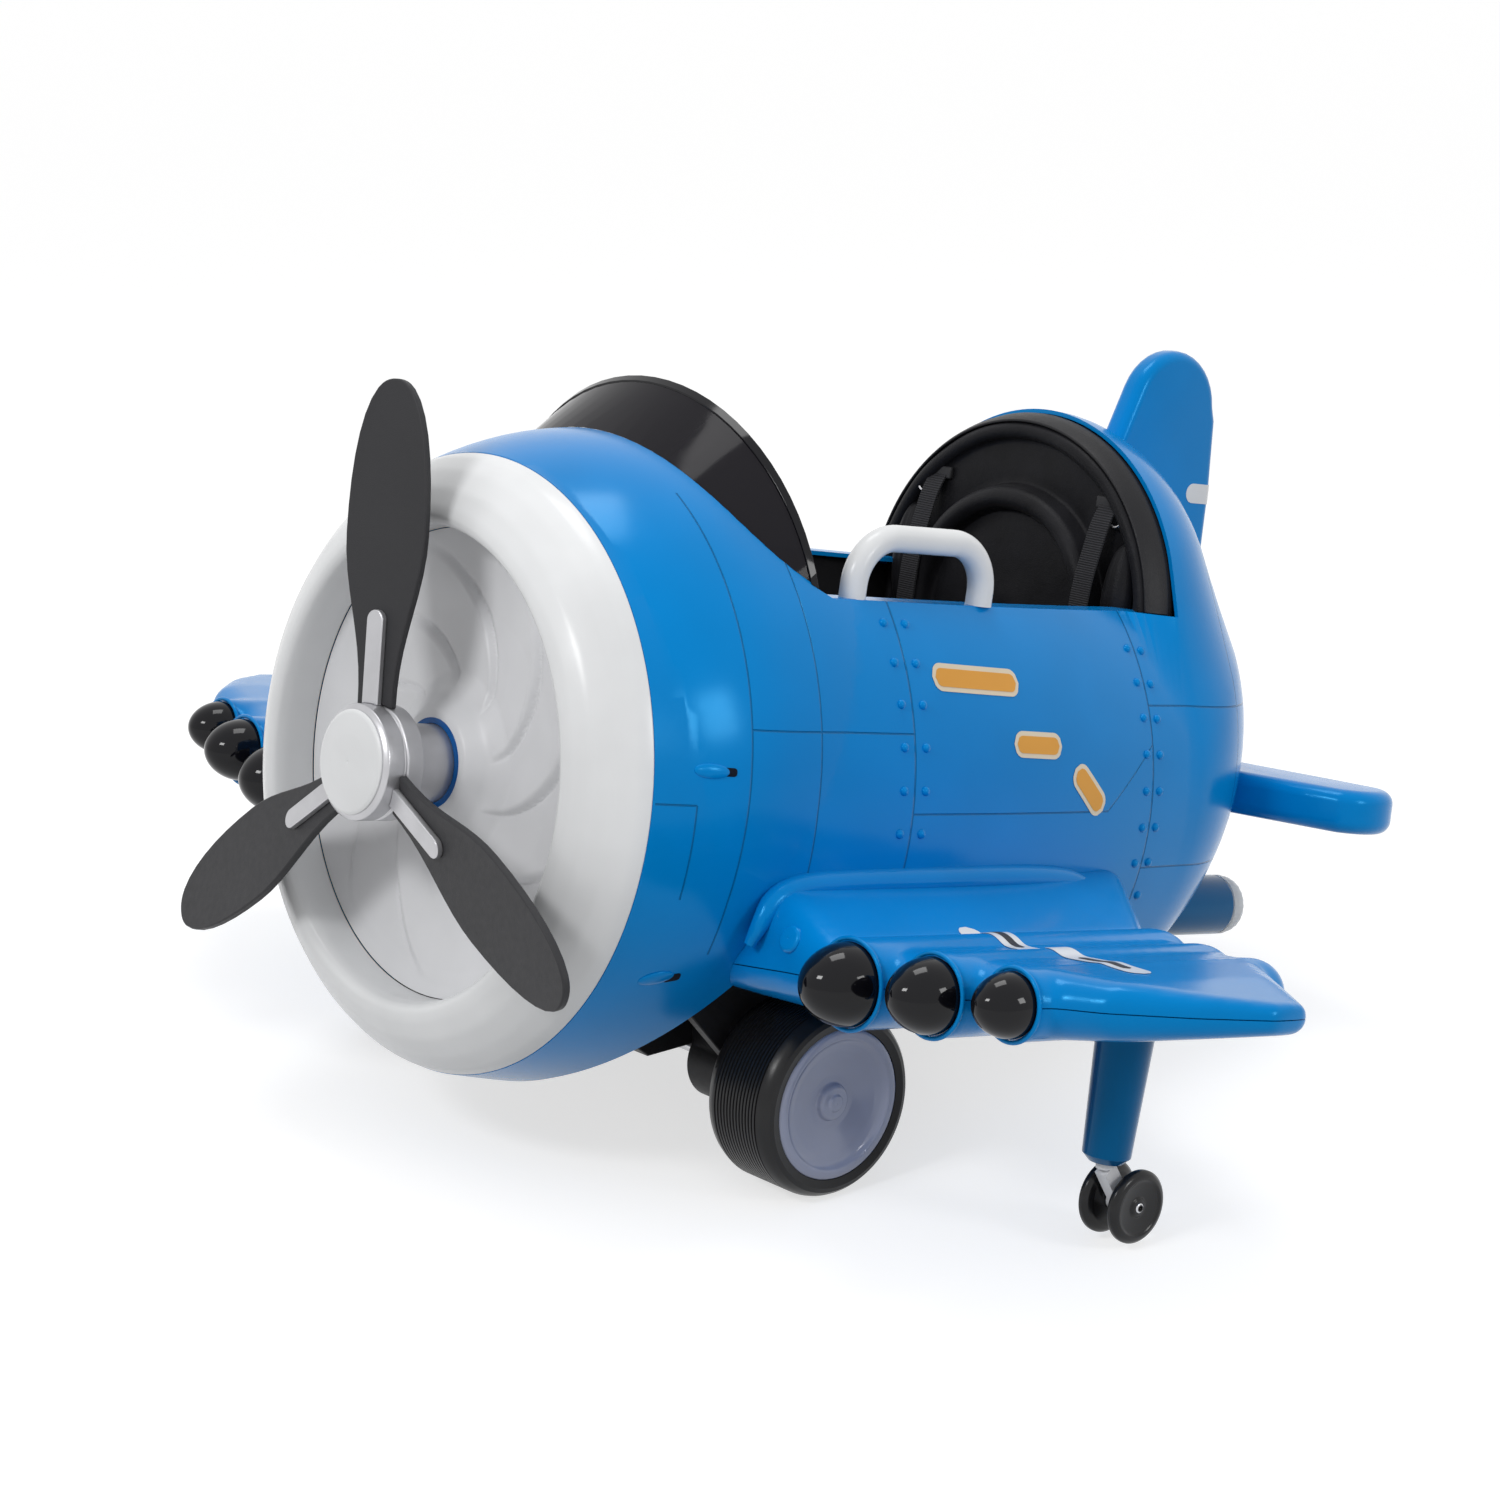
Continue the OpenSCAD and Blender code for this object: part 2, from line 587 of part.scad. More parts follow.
// A pillow on a rounded outline: its sides draw in and its top crowns, with two sewn channels across
function pillow_edge(a) = let (c = cos(a), s = sin(a))
    pow(pow(abs(c), 4) + pow(abs(s), 4), -0.25);
function channel(v) = 3.5 * (exp(-pow((v - 0.28) * 16, 2)) + exp(-pow((v + 0.28) * 16, 2)));
module pillow(w, l, t) {
    rings = 9;
    n = 40;
    function half(u) = t / 2 * pow(1 - pow(u, 3.2), 0.5);
    upper = [for (i = [0:rings]) let (u = sin(90 * i / rings)) for (j = [0:n - 1])
        let (a = 360 * j / n, e = pillow_edge(a) * u, draw = 1 - 0.03 * pow(cos(2 * a), 2))
        [w / 2 * e * cos(a) * draw, l / 2 * e * sin(a) * draw, half(u) - channel(e * sin(a)) * (1 - u * u)]];
    lower = [for (i = [rings - 1:-1:0]) let (u = sin(90 * i / rings)) for (j = [0:n - 1])
        let (a = 360 * j / n, e = pillow_edge(a) * u, draw = 1 - 0.03 * pow(cos(2 * a), 2))
        [w / 2 * e * cos(a) * draw, l / 2 * e * sin(a) * draw, -half(u) * 0.72]];
    pts = concat([[0, 0, half(0)]], [for (k = [n:len(upper) - 1]) upper[k]],
        [for (k = [0:len(lower) - n - 1]) lower[k]], [[0, 0, -half(0) * 0.72]]);
    bands = (len(pts) - 2) / n;
    faces = concat([for (j = [0:n - 1]) [0, 1 + (j + 1) % n, 1 + j]],
        [for (i = [0:bands - 2]) for (j = [0:n - 1]) let (k = (j + 1) % n, a = 1 + i * n, b = a + n)
            each [[a + j, a + k, b + k], [a + j, b + k, b + j]]],
        [for (j = [0:n - 1]) [len(pts) - 1, len(pts) - 1 - n + j, len(pts) - 1 - n + (j + 1) % n]]);
    polyhedron(pts, faces, convexity = 4);
}

module seat_cushion() color("#19191b") body_frame()
    translate([0, bulkhead_s - back_t + 12 - cushion_len / 2, seat_h + cushion_t * 0.36 + gap])
        pillow(cushion_w, cushion_len - 10, cushion_t);

// Round padded back: a rolled outer edge, a panel, an inner roll and a crowned middle
module seat_back_pad() color("#19191b") body_frame() intersection() {
    translate([0, pad_face_s, arch_h]) rotate([90, 0, 0]) rotate_extrude($fn = 96)
        polygon(concat([[0, 0], [back_pad_r, 0]], roll(back_pad_r - roll_r, roll_r, 19, 0),
            [[back_pad_r - 19, 15], [back_pad_r - 38, 17], [inner_roll_r + 14, 15]],
            roll(inner_roll_r, 11, back_t - 11, 0), [[inner_roll_r - 13, 22], [60, 25], [0, 26]]));
    union() {
        translate([-arch_r, 0, rim_h + gap]) cube([2 * arch_r, 2 * barrel_len, arch_r + arch_h]);
        translate([-tub_half_w + 18, 0, pad_foot_h])
            cube([2 * (tub_half_w - 18), 2 * barrel_len, rim_h]);
    }
}
// Points over a roll of radius r round [x, z], from its outer to its inner side
function roll(x, r, z, a0) = [for (a = [a0:20:180 - a0]) [x + r * cos(a), z + r * sin(a)]];

// Black moulded bezel that slopes from the arch's edge to the rolled pad
module seat_surround() color("#151517") body_frame() difference() {
    translate([0, pad_face_s, arch_h]) rotate([90, 0, 0]) rotate_extrude($fn = 96)
        polygon([[back_pad_r + gap, 0], [arch_inner_r - gap, 0], [arch_inner_r - gap, 4],
            [arch_inner_r - 2.5, 12], [arch_inner_r - 6, 20], [back_pad_r + 2.5, 24], [back_pad_r + gap, 24]]);
    translate([-arch_r, 0, -arch_r]) cube([2 * arch_r, 2 * barrel_len, arch_r + rim_h + gap]);
}

module seat_side_pads() color("#19191b") body_frame() for (side = [-1, 1]) mirrored(side)
    translate([strap_x + strap_w / 2 + 16, pad_face_s - 17 - gap, rim_h]) bolster(15, 48);
// A plump upright bolster, flat on its rear side
module bolster(rx, rz) difference() {
    rotate_extrude($fn = 48) polygon([for (a = [-90:15:90]) [rx * cos(a), rz * sin(a)]]);
    translate([-50, 0, -100]) cube([100, 50, 200]);
}

// Shoulder straps from their slots, over the inner roll and down to a strap across the lap
module harness_straps() color("#2c2c2f") body_frame() difference() {
    strap_forms();
    translate([0, pad_face_s, arch_h]) rotate([90, 0, 0]) rotate_extrude($fn = 96)
        translate([back_pad_r - roll_r, 19]) circle(r = roll_r + 6 * gap);
}
module strap_forms() {
    for (side = [-1, 1]) mirrored(side)
        side_plate(strap_x - strap_w / 2, strap_x + strap_w / 2) polygon([
            [pad_face_s - 17.3, 286], [pad_face_s - 17.3, 281], [strap_s, 212], [strap_s, lap_h],
            [strap_s - strap_t, lap_h], [strap_s - strap_t, 213], [pad_face_s - 19.7, 283],
            [pad_face_s - 19.7, 286]]);
    translate([-strap_x - strap_w / 2, strap_s - strap_w, lap_h])
        cube([2 * strap_x + strap_w, strap_w, strap_t]);
}

module at_buckle() translate([0, strap_s - strap_w / 2, lap_h + strap_t + gap]) children();
module harness_buckle() color("#1a1a1c") body_frame() at_buckle() difference() {
    translate([-24, -16, 0]) cube([48, 32, 18]);
    translate([0, 0, 6]) cylinder(r = 8 + gap, h = 20);
}
module buckle_button() color("crimson") body_frame() at_buckle()
    translate([0, 0, 6 + 4]) cylinder(r = 8, h = 9.5);

// Tail surfaces

module fin_outline(inset) polygon(concat([[728 + inset, 250], [776 + inset, 398]],
    [for (a = [160:-20:10]) [838 + (61 - inset) * cos(a), 376 + (61 - inset) * sin(a)]],
    [[904 - inset, 372], [912 - inset, 300], [918 - inset, 150]]));

module vertical_fin() color("#0077c4") body_frame() as_mesh() difference() {
    hull() {
        side_plate(-4, 4) fin_outline(0);
        side_plate(-fin_t / 2, fin_t / 2) fin_outline(12);
    }
    tail_solid(-gap, 0, 1);
    flash_slot(gap);
}
module flash_slot(extra) translate([0, 0, 296]) {
    translate([-fin_t / 2 - 3, 882, -10 - extra]) cube([fin_t + 6, 60, 20 + 2 * extra]);
    translate([-fin_t / 2 - 3, 882, 0]) along_x() cylinder(r = 10 + extra, h = fin_t + 6, $fn = 32);
}
module fin_flash() color("white") body_frame() as_mesh() intersection() {
    flash_slot(0);
    hull() {
        side_plate(-4, 4) fin_outline(-0.5);
        side_plate(-fin_t / 2 - 0.5, fin_t / 2 + 0.5) fin_outline(11.5);
    }
}

module stab_outline(inset) polygon(concat([[40, 790 + inset], [150, 794 + inset], [stab_span - 74, 812 + inset]],
    [for (a = [-60:20:80]) [stab_span - 44 + (44 - inset) * cos(a), 862 + (48 - inset) * sin(a)]],
    [[stab_span - 90, 908 - inset], [40, 892 - inset]]));
module stabilisers() color("#0077c4") body_frame() as_mesh() for (side = [-1, 1]) mirrored(side) difference() {
    translate([0, 0, 11]) rotate([0, -2.5, 0]) hull() {
        translate([0, 0, -9]) linear_extrude(18) stab_outline(0);
        translate([0, 0, -stab_t / 2 + 3]) linear_extrude(stab_t - 6) stab_outline(4);
        translate([0, 0, -stab_t / 2]) linear_extrude(stab_t) stab_outline(11);
    }
    tail_solid(-gap, 0, 1);
}

module exhaust_tubes() color("#0077c4") body_frame() for (side = [-1, 1])
    translate([side * exhaust_x, barrel_len + 70, exhaust_h]) along_s() difference() {
        cylinder(r = exhaust_r, h = exhaust_end - barrel_len - 70);
        translate([0, 0, exhaust_end - barrel_len - 110]) cylinder(r = exhaust_r - 4, h = 50);
    }
module exhaust_lamps() color([0.9, 0.9, 0.92, 0.7]) body_frame() for (side = [-1, 1])
    translate([side * exhaust_x, exhaust_end - 16, exhaust_h]) along_s() {
        cylinder(r = exhaust_r - 4 - gap, h = 16);
        translate([0, 0, 16]) rotate_extrude($fn = 64) polygon([[0, 0], [exhaust_r, 0], [exhaust_r, 8],
            [exhaust_r - 2, 16], [exhaust_r - 8, 21], [0, 22]]);
    }

// Wings

// A rounded upright slice of the wing at span x, from leading edge s0 to trailing edge s1
module wing_slice(x, s0, s1, t, inset) translate([x, 0, wing_mid(x)]) {
    r = t / 2;
    for (s = [s0 + r, s1 - r]) translate([0, s, 0]) along_x() rotate([0, 0, 9])
        cylinder(r = r - inset, h = 1, $fn = 20);
}
module wing_panel(inset) hull() {
    wing_slice(228, 121, 574, wing_t - 13, inset);
    wing_slice(nacelle_x[0], nacelle_s[0] + 8, 496, wing_t, inset);
    wing_slice(nacelle_x[1], nacelle_s[1] + 8, 456, wing_t, inset);
    wing_slice(nacelle_x[2], nacelle_s[2] + 6, 430, wing_t, inset);
    wing_slice(640, 160, 366, wing_t - 10, inset);
    wing_slice(690, 208, 318, wing_t - 24, inset);
    wing_slice(half_span - 1 - inset, 262, 300, wing_t - 34, inset);
}
// The thick root block that laps up the side of the barrel
module wing_root(inset) hull() {
    for (s = [150 + inset, 560 - inset]) for (h = [-60, -124])
        translate([240, s, h]) along_x() rotate([0, 0, 9]) cylinder(r = 20 - inset, h = 30, $fn = 20);
    wing_slice(376 - inset, 110, 512, wing_t + 6, inset);
}
module nacelles(inset) for (i = [0:2]) translate([nacelle_x[i], nacelle_s[i] + inset, wing_mid(nacelle_x[i])])
    along_s() rotate([0, 0, 180 / 28]) {
        cylinder(r = nacelle_r[i] - inset, h = nacelle_end[i] - nacelle_s[i] - nacelle_r[i] - 2 * inset, $fn = 28);
        translate([0, 0, nacelle_end[i] - nacelle_s[i] - nacelle_r[i] - 2 * inset])
            sphere(r = nacelle_r[i] - inset, $fn = 28);
    }
module wing_form(inset) {
    wing_panel(inset);
    wing_root(inset);
    nacelles(inset);
}
// Everything above the wing's middle plane; push lifts it
module above_middle(push) translate([0, 0, wing_h0 + push]) rotate([0, -atan(dihedral), 0])
    translate([0, -200, 0]) cube([2 * half_span, 1200, 300]);

module wing_hollow() difference() {
    wing_form(0);
    wing_form(wing_wall);
    barrel_solid(-gap, 0, barrel_len);
    tail_solid(-gap, 0, 1);
    for (i = [0:2]) translate([nacelle_x[i], nacelle_s[i] - 9, wing_mid(nacelle_x[i])]) along_s() {
        cylinder(r = nacelle_r[i] + 1, h = 9, $fn = 56);
        cylinder(r = nacelle_r[i] - wing_wall, h = 22, $fn = 56);
    }
}
module wing_upper(side) color("#0077c4") body_frame() mirrored(side) as_mesh() intersection() {
    wing_hollow();
    above_middle(0.1);
}
module wing_lower(side) color("#0077c4") body_frame() mirrored(side) as_mesh() difference() {
    wing_hollow();
    above_middle(-0.1);
}
module wing_upper_port() wing_upper(1);
module wing_upper_starboard() wing_upper(-1);
module wing_lower_port() wing_lower(1);
module wing_lower_starboard() wing_lower(-1);

// Black cones, each with a plug that seats in its nacelle
module nacelle_cones() color("#101012") body_frame() for (side = [-1, 1]) mirrored(side) for (i = [0:2])
    translate([nacelle_x[i], nacelle_s[i], wing_mid(nacelle_x[i])]) rotate([90, 0, 0]) rotate_extrude()
        polygon(concat([[0, -9], [nacelle_r[i] - wing_wall - 2 * gap, -9],
            [nacelle_r[i] - wing_wall - 2 * gap, gap], [nacelle_r[i] - 2.5, gap]],
            [for (a = [10:10:90]) [(nacelle_r[i] - 2.5) * pow(cos(a), 0.8), nacelle_r[i] * 1.2 * sin(a)]]));

// Legs and casters

module wing_legs() color("#0077c4") for (side = [-1, 1]) mirrored(side) difference() {
    body_frame() translate([leg_x, leg_s, leg_foot_h]) {
        translate([0, 0, 6]) cylinder(r1 = leg_r * 0.82, r2 = leg_r, h = leg_len);
        cylinder(r1 = leg_r * 0.82 - 6, r2 = leg_r * 0.82, h = 6);
    }
    body_frame() translate([leg_x, leg_s, leg_top_h - gap]) rotate([0, -atan(dihedral), 0])
        translate([-60, -60, 0]) cube([120, 120, 80]);
    body_frame() nacelles(-gap);
    level_frame() translate([leg_x, leg_foot_y, leg_foot_z - 30]) cylinder(r = stem_r + run_gap, h = 62);
    level_frame() translate([leg_x, leg_foot_y, collar_z - 20]) cylinder(r = collar_r2 + 1, h = 20 + 9);
}

// Caster fork: a stem that turns in its bore, a collar and one arm down to the axle
module fork_shape(lift = 0) {
    wheel_z = floor_z + caster_r + lift;
    drop = collar_z - wheel_z;
    arm = sqrt(drop * drop + caster_trail * caster_trail);
    lean = atan(caster_trail / drop);
    translate([0, 0, collar_z + 4]) cylinder(r = stem_r, h = 30);
    translate([0, 0, collar_z]) cylinder(r = collar_r2, h = 8.7);
    difference() {
        union() {
            translate([0, 0, collar_z - 1]) rotate([lean, 0, 0]) translate([-6, -7, -arm]) cube([12, 14, arm]);
            translate([-caster_gap / 2 + gap, caster_trail, wheel_z]) along_x()
                cylinder(r = 9, h = caster_gap - 2 * gap);
        }
        translate([-20, caster_trail, wheel_z]) along_x() cylinder(r = 3 + run_gap, h = 40);
    }
}
module fork_port() color("silver") level_frame() translate([leg_x, leg_foot_y, 0]) fork_shape(caster_lift);
module fork_starboard() color("silver") level_frame() translate([-leg_x, leg_foot_y, 0]) fork_shape(caster_lift);
module fork_tail() color("silver") level_frame() translate([0, tail_caster_y, 0]) fork_shape();

// Twin wheels on one axle pin
module twin_wheels() along_x() rotate_extrude($fn = 64) polygon(
    [for (side = [1, -1]) each side_points(side)]);
function side_points(side) = let (g = caster_gap / 2 + 0.3, w = g + caster_w, r = caster_r)
    side > 0
    ? [[3, 0], [3, g], [r - 8, g], [r - 3, g + 2], [r, g + 6], [r, w - 5], [r - 4, w - 1], [r - 8, w],
       [12, w - 3], [8, w], [0, w]]
    : [[0, -w], [8, -w], [12, -w + 3], [r - 8, -w], [r - 4, -w + 1], [r, -w + 5], [r, -g - 6],
       [r - 3, -g - 2], [r - 8, -g], [3, -g]];
module casters_at(x, y, lift) color("#101012") level_frame()
    translate([x, y + caster_trail, floor_z + caster_r + lift]) twin_wheels();
module caster_wheels_port() casters_at(leg_x, leg_foot_y, caster_lift);
module caster_wheels_starboard() casters_at(-leg_x, leg_foot_y, caster_lift);
module caster_wheels_tail() casters_at(0, tail_caster_y, 0);

// Drive wheels

module at_wheel(side) level_frame() translate([0, axle_y, axle_z]) mirrored(side)
    translate([tyre_in_x, 0, 0]) along_x() children();

// Hollow wheel: tread drum, inner web and hub tube
module tyre(side) color("#141416") at_wheel(side) difference() {
    rotate_extrude($fn = 96) polygon([
        [axle_r + run_gap, 0], [22, 0], [22, 24], [cover_r - 2, 24], [cover_r - 2, 6], [tyre_r - 10, 0],
        [tyre_r - 3, 5], [tyre_r, 14], [tyre_r, tyre_w - 14], [tyre_r - 3, tyre_w - 5], [tyre_r - 10, tyre_w],
        [cover_r + 2, tyre_w - 3], [cover_r + 2, tyre_w - 16], [cover_r - 4, tyre_w - 16], [cover_r - 4, 29],
        [15, 29], [15, tyre_w - 24], [axle_r + run_gap, tyre_w - 24]]);
}
module tyre_port() tyre(1);
module tyre_starboard() tyre(-1);

// Dished grey cover with a raised lip and a centre cap
module hub_cover(side) color("#6a6d88") at_wheel(side) rotate_extrude($fn = 96) polygon([
    [0, tyre_w - 8], [0, tyre_w - 12], [18, tyre_w - 13], [cover_r - 16, tyre_w - 15.7],
    [cover_r + 1.7, tyre_w - 15.7], [cover_r + 1.7, tyre_w - 2], [cover_r - 3, tyre_w], [cover_r - 9, tyre_w - 2],
    [cover_r - 13, tyre_w - 9], [18, tyre_w - 10], [15, tyre_w - 4], [8, tyre_w - 2], [0, tyre_w - 2]]);
module hub_cover_port() hub_cover(1);
module hub_cover_starboard() hub_cover(-1);

axle_half = tyre_out_x - 16;
module drive_axle() color("silver") level_frame() translate([-axle_half, axle_y, axle_z]) along_x()
    cylinder(r = axle_r, h = 2 * axle_half);
// Nuts that keep the wheels on the axle, under the hub covers
module axle_nuts() color("silver") for (side = [-1, 1]) at_wheel(side) translate([0, 0, tyre_w - 23.5])
    difference() {
        cylinder(r = 11, h = 7, $fn = 6);
        translate([0, 0, -1]) cylinder(r = axle_r + run_gap, h = 9);
    }

// Slanted plates from the belly down to the axle, each with its pivot bolt
module axle_brackets() for (side = [-1, 1]) mirrored(side) {
    top = [122, belly_h - 38];
    foot_s = axle_y * cp - axle_z * sp;
    foot_h = axle_y * sp + axle_z * cp;
    tilt = atan2(foot_h - top[1], foot_s - top[0]);
    color("#1c1c1e") difference() {
        body_frame() {
            side_plate(bracket_x, bracket_x + bracket_t) polygon(concat([[216, belly_h], [154, belly_h]],
                [for (a = [90:30:270]) [top[0] + 16 * cos(tilt + a), top[1] + 16 * sin(tilt + a)]],
                [for (a = [-90:30:90]) [foot_s + 20 * cos(tilt + a), foot_h + 20 * sin(tilt + a)]]));
            side_plate(chassis_half_w, bracket_x + 2) polygon([
                [160, belly_h - 12], [160, belly_h - 2], [210, belly_h - 2], [210, belly_h - 12]]);
        }
        level_frame() translate([bracket_x - 1, axle_y, axle_z]) along_x()
            cylinder(r = axle_r + run_gap, h = bracket_t + 2);
    }
    color("silver") body_frame() translate([bracket_x + bracket_t - 1, top[0], top[1]]) along_x()
        cylinder(r1 = 9, r2 = 6, h = 5);
}

// Reduction gearboxes with their motors, one inboard of each wheel
module gearboxes() color("#2a2a2d") for (side = [-1, 1]) mirrored(side)
    level_frame() translate([0, axle_y, axle_z]) difference() {
        union() {
            translate([chassis_half_w, 0, 0]) along_x() cylinder(r = 36, h = bracket_x - chassis_half_w - gap);
            translate([chassis_half_w, -30, 0]) cube([bracket_x - chassis_half_w - gap, 60, 66]);
            translate([chassis_half_w, 0, 40]) along_x() cylinder(r = 24, h = 10);
        }
        translate([chassis_half_w - 1, 0, 0]) along_x() cylinder(r = axle_r + run_gap, h = bracket_x);
        body_frame_inverse() translate([0, 0, belly_h - 12 - gap]) cube([400, 400, 400]);
    }
// The body frame, seen from the drive axle
module body_frame_inverse() translate([0, -axle_y, -axle_z]) rotate([-nose_pitch, 0, 0]) children();

// Level chassis tray under the belly pan, with the tail caster's boss
module chassis() color("#1c1c1e") difference() {
    union() {
        body_frame() chassis_block(0);
        level_frame() translate([0, tail_caster_y, collar_z + 9]) cylinder(r = 20, h = 60);
    }
    body_frame() chassis_block(5);
    body_frame() translate([-barrel_r, 0, belly_h]) cube([2 * barrel_r, 900, 100]);
    level_frame() translate([0, tail_caster_y, collar_z]) cylinder(r = stem_r + run_gap, h = 50);
    level_frame() translate([-400, axle_y, axle_z]) along_x() cylinder(r = axle_r + run_gap, h = 800);
}
module chassis_block(inset) side_plate(-chassis_half_w + inset, chassis_half_w - inset) polygon([
    [chassis_front + inset, belly_h + inset], [chassis_back - inset, belly_h + inset],
    [chassis_back - inset, level_h(chassis_z + inset, chassis_back - inset)],
    [chassis_front + 40, level_h(chassis_z + inset, chassis_front + 40)],
    [chassis_front + inset, level_h(chassis_z + inset, chassis_front + inset) + 30]]);

module battery() color("#38383c") body_frame() translate([-75, bulkhead_s - 140, tub_top_h + gap])
    cube([151, 98, 65]);
module control_box() color("#2f4f3a") level_frame() translate([-120, 300, chassis_z + 5 + gap])
    cube([90, 70, 24]);

// Round loudspeaker on the front of the footwell
module speaker() color("#303034") body_frame() translate([90, footwell_s - liner_t - gap, 20]) rotate([90, 0, 0]) {
    cylinder(r = 38, h = 4);
    translate([0, 0, 4]) cylinder(r1 = 32, r2 = 15, h = 16);
    translate([0, 0, 20]) cylinder(r = 18, h = 9);
}

// Sticks

stick_pin_r = 5;
module at_stick(side) body_frame() mirrored(side) translate([stick_x, stick_s, stick_h]) children();

// Pedestals with two ears each, which carry the pins of the sticks
module stick_bases() color("#1f1f21") for (side = [-1, 1]) at_stick(side) difference() {
    union() {
        translate([0, 0, tub_top_h - stick_h + gap]) cylinder(r = 30, h = 8);
        translate([0, 0, tub_top_h - stick_h + gap]) cylinder(r = 18, h = stick_h - tub_top_h - 20);
        translate([-24, -15, -34]) cube([48, 30, 34]);
        translate([-24, 0, 0]) along_x() cylinder(r = 15, h = 48);
    }
    translate([-12.5, -16, -18]) cube([25, 32, 40]);
    translate([-30, 0, 0]) along_x() cylinder(r = stick_pin_r + run_gap, h = 60);
}
module stick(side) color("#26262a") at_stick(side) {
    translate([-24, 0, 0]) along_x() cylinder(r = stick_pin_r, h = 48);
    translate([-12, 0, 0]) along_x() cylinder(r = 12, h = 24);
    cylinder(r = 7, h = stick_len - 40);
    translate([0, 0, stick_len - 48]) cylinder(r1 = 12, r2 = 16, h = 30);
    translate([0, 0, stick_len - 18]) sphere(r = 16);
}
module stick_port() stick(1);
module stick_starboard() stick(-1);

nose_cowl();
engine_plate();
prop_motor();
prop_shaft();
prop_hub();
hub_cap();
prop_blades();
blade_bars();
fuselage_shell();
tail_shell();
belly_pan();
cockpit_liner();
dashboard();
windshield();
windshield_hoop();
grab_handles();
seat_box();
seat_cushion();
seat_back_pad();
seat_surround();
seat_side_pads();
harness_straps();
harness_buckle();
buckle_button();
vertical_fin();
fin_flash();
stabilisers();
exhaust_tubes();
exhaust_lamps();
wing_upper_port();
wing_lower_port();
wing_upper_starboard();
wing_lower_starboard();
nacelle_cones();
wing_legs();
fork_port();
fork_starboard();
fork_tail();
caster_wheels_port();
caster_wheels_starboard();
caster_wheels_tail();
tyre_port();
tyre_starboard();
hub_cover_port();
hub_cover_starboard();
drive_axle();
axle_nuts();
axle_brackets();
gearboxes();
chassis();
battery();
control_box();
speaker();
stick_bases();
stick_port();
stick_starboard();
start_button();
horn_button();
charge_socket();
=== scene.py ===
# Looks of the ride-on toy airplane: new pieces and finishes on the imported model's frame.
import json
import math

import bmesh
import bpy
from mathutils import Matrix, Vector
from mathutils.bvhtree import BVHTree


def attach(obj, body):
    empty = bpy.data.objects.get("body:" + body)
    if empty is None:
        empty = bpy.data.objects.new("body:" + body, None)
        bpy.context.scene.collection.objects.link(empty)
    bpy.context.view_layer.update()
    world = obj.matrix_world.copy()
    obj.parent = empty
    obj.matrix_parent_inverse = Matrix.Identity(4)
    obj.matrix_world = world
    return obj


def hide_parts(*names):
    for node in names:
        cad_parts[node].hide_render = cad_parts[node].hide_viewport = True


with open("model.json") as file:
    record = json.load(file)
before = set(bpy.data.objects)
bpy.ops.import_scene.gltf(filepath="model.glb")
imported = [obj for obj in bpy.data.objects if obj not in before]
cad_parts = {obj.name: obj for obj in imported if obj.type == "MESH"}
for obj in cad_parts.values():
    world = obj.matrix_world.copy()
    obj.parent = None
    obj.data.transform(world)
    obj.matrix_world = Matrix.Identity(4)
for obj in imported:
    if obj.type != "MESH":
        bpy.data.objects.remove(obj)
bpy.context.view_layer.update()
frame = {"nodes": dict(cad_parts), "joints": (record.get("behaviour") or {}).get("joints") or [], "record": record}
slots = {part["node"]: part["material_slot"] for part in frame["record"]["subparts"]}


def joint(name):
    return next(j for j in frame["joints"] if j["name"] == name)


# Places, in millimetres of the body's own frame: x to port, s aft along the body, h up
ring = joint("propeller_spin")
ring_centre = Vector(ring["pos_m"])
pitch = math.asin(ring["axis"][2])
BODY = Matrix.Translation(ring_centre) @ Matrix.Rotation(-pitch, 4, "X") @ Matrix.Scale(0.001, 4)
LEVEL = Matrix.Translation((0, ring_centre.y, 0)) @ Matrix.Scale(0.001, 4)
AFT = Matrix.Rotation(math.radians(-90), 4, "X")
PORT = Matrix.Rotation(math.radians(90), 4, "Y")
MIRROR = Matrix.Scale(-1, 4, (1, 0, 0))
BARREL = BODY @ AFT

# Shell
ring_r, barrel_r, wide_at, rear_r, barrel_len = 270, 289.5, 240, 264, 610
wall, rim_h, deck_rise, belly_h = 4, 190, 13, -120
# Tail
arch_s, arch_r, arch_h = 672, 203, 160
tail_len, tail_tip_h, tail_r, tail_sides = 262, 98, 257, 160
exhaust_x, exhaust_h, exhaust_r = 140, -107, 30
# Seat
pad_face_s, back_pad_r = 667.7, 188
seat_h, seat_front, seat_rear, cushion_w = -30, 450, 628, 300
strap_x, strap_w, lap_h = 118, 24, 14
# Wings, and each nacelle's x, front, rear and radius
half_span, dihedral, wing_h0, wing_t = 726, 0.14, -155, 58
nacelles = [(415, 106, 508, 38), (501, 114, 465, 34.5), (571, 131, 444, 30)]
# Running gear
tyre_r, tyre_w, tyre_in_x, axle_y = 84, 82, 230, 171
caster_r, caster_gap, caster_w = 31.5, 18, 13
# How deep fin and stabilisers sit in the tail, play round the barrel, half a wing seam, print
let_in, play, half_seam, print_t = 2.2, 0.3, 0.45, 0.25


# Camera, at the photograph's viewing angle
def add_camera():
    data = bpy.data.cameras.new("camera")
    data.lens, data.sensor_width = 81.6, 36
    data.clip_start, data.clip_end = 0.1, 100
    camera = bpy.data.objects.new("camera", data)
    bpy.context.scene.collection.objects.link(camera)
    view = Vector((0.7355, -0.6279, 0.2536))
    camera.location = ring_centre + Vector((2.3368, -1.6583, 0.7604))
    camera.rotation_euler = (-view).to_track_quat("-Z", "Y").to_euler()
    bpy.context.scene.camera = camera


add_camera()


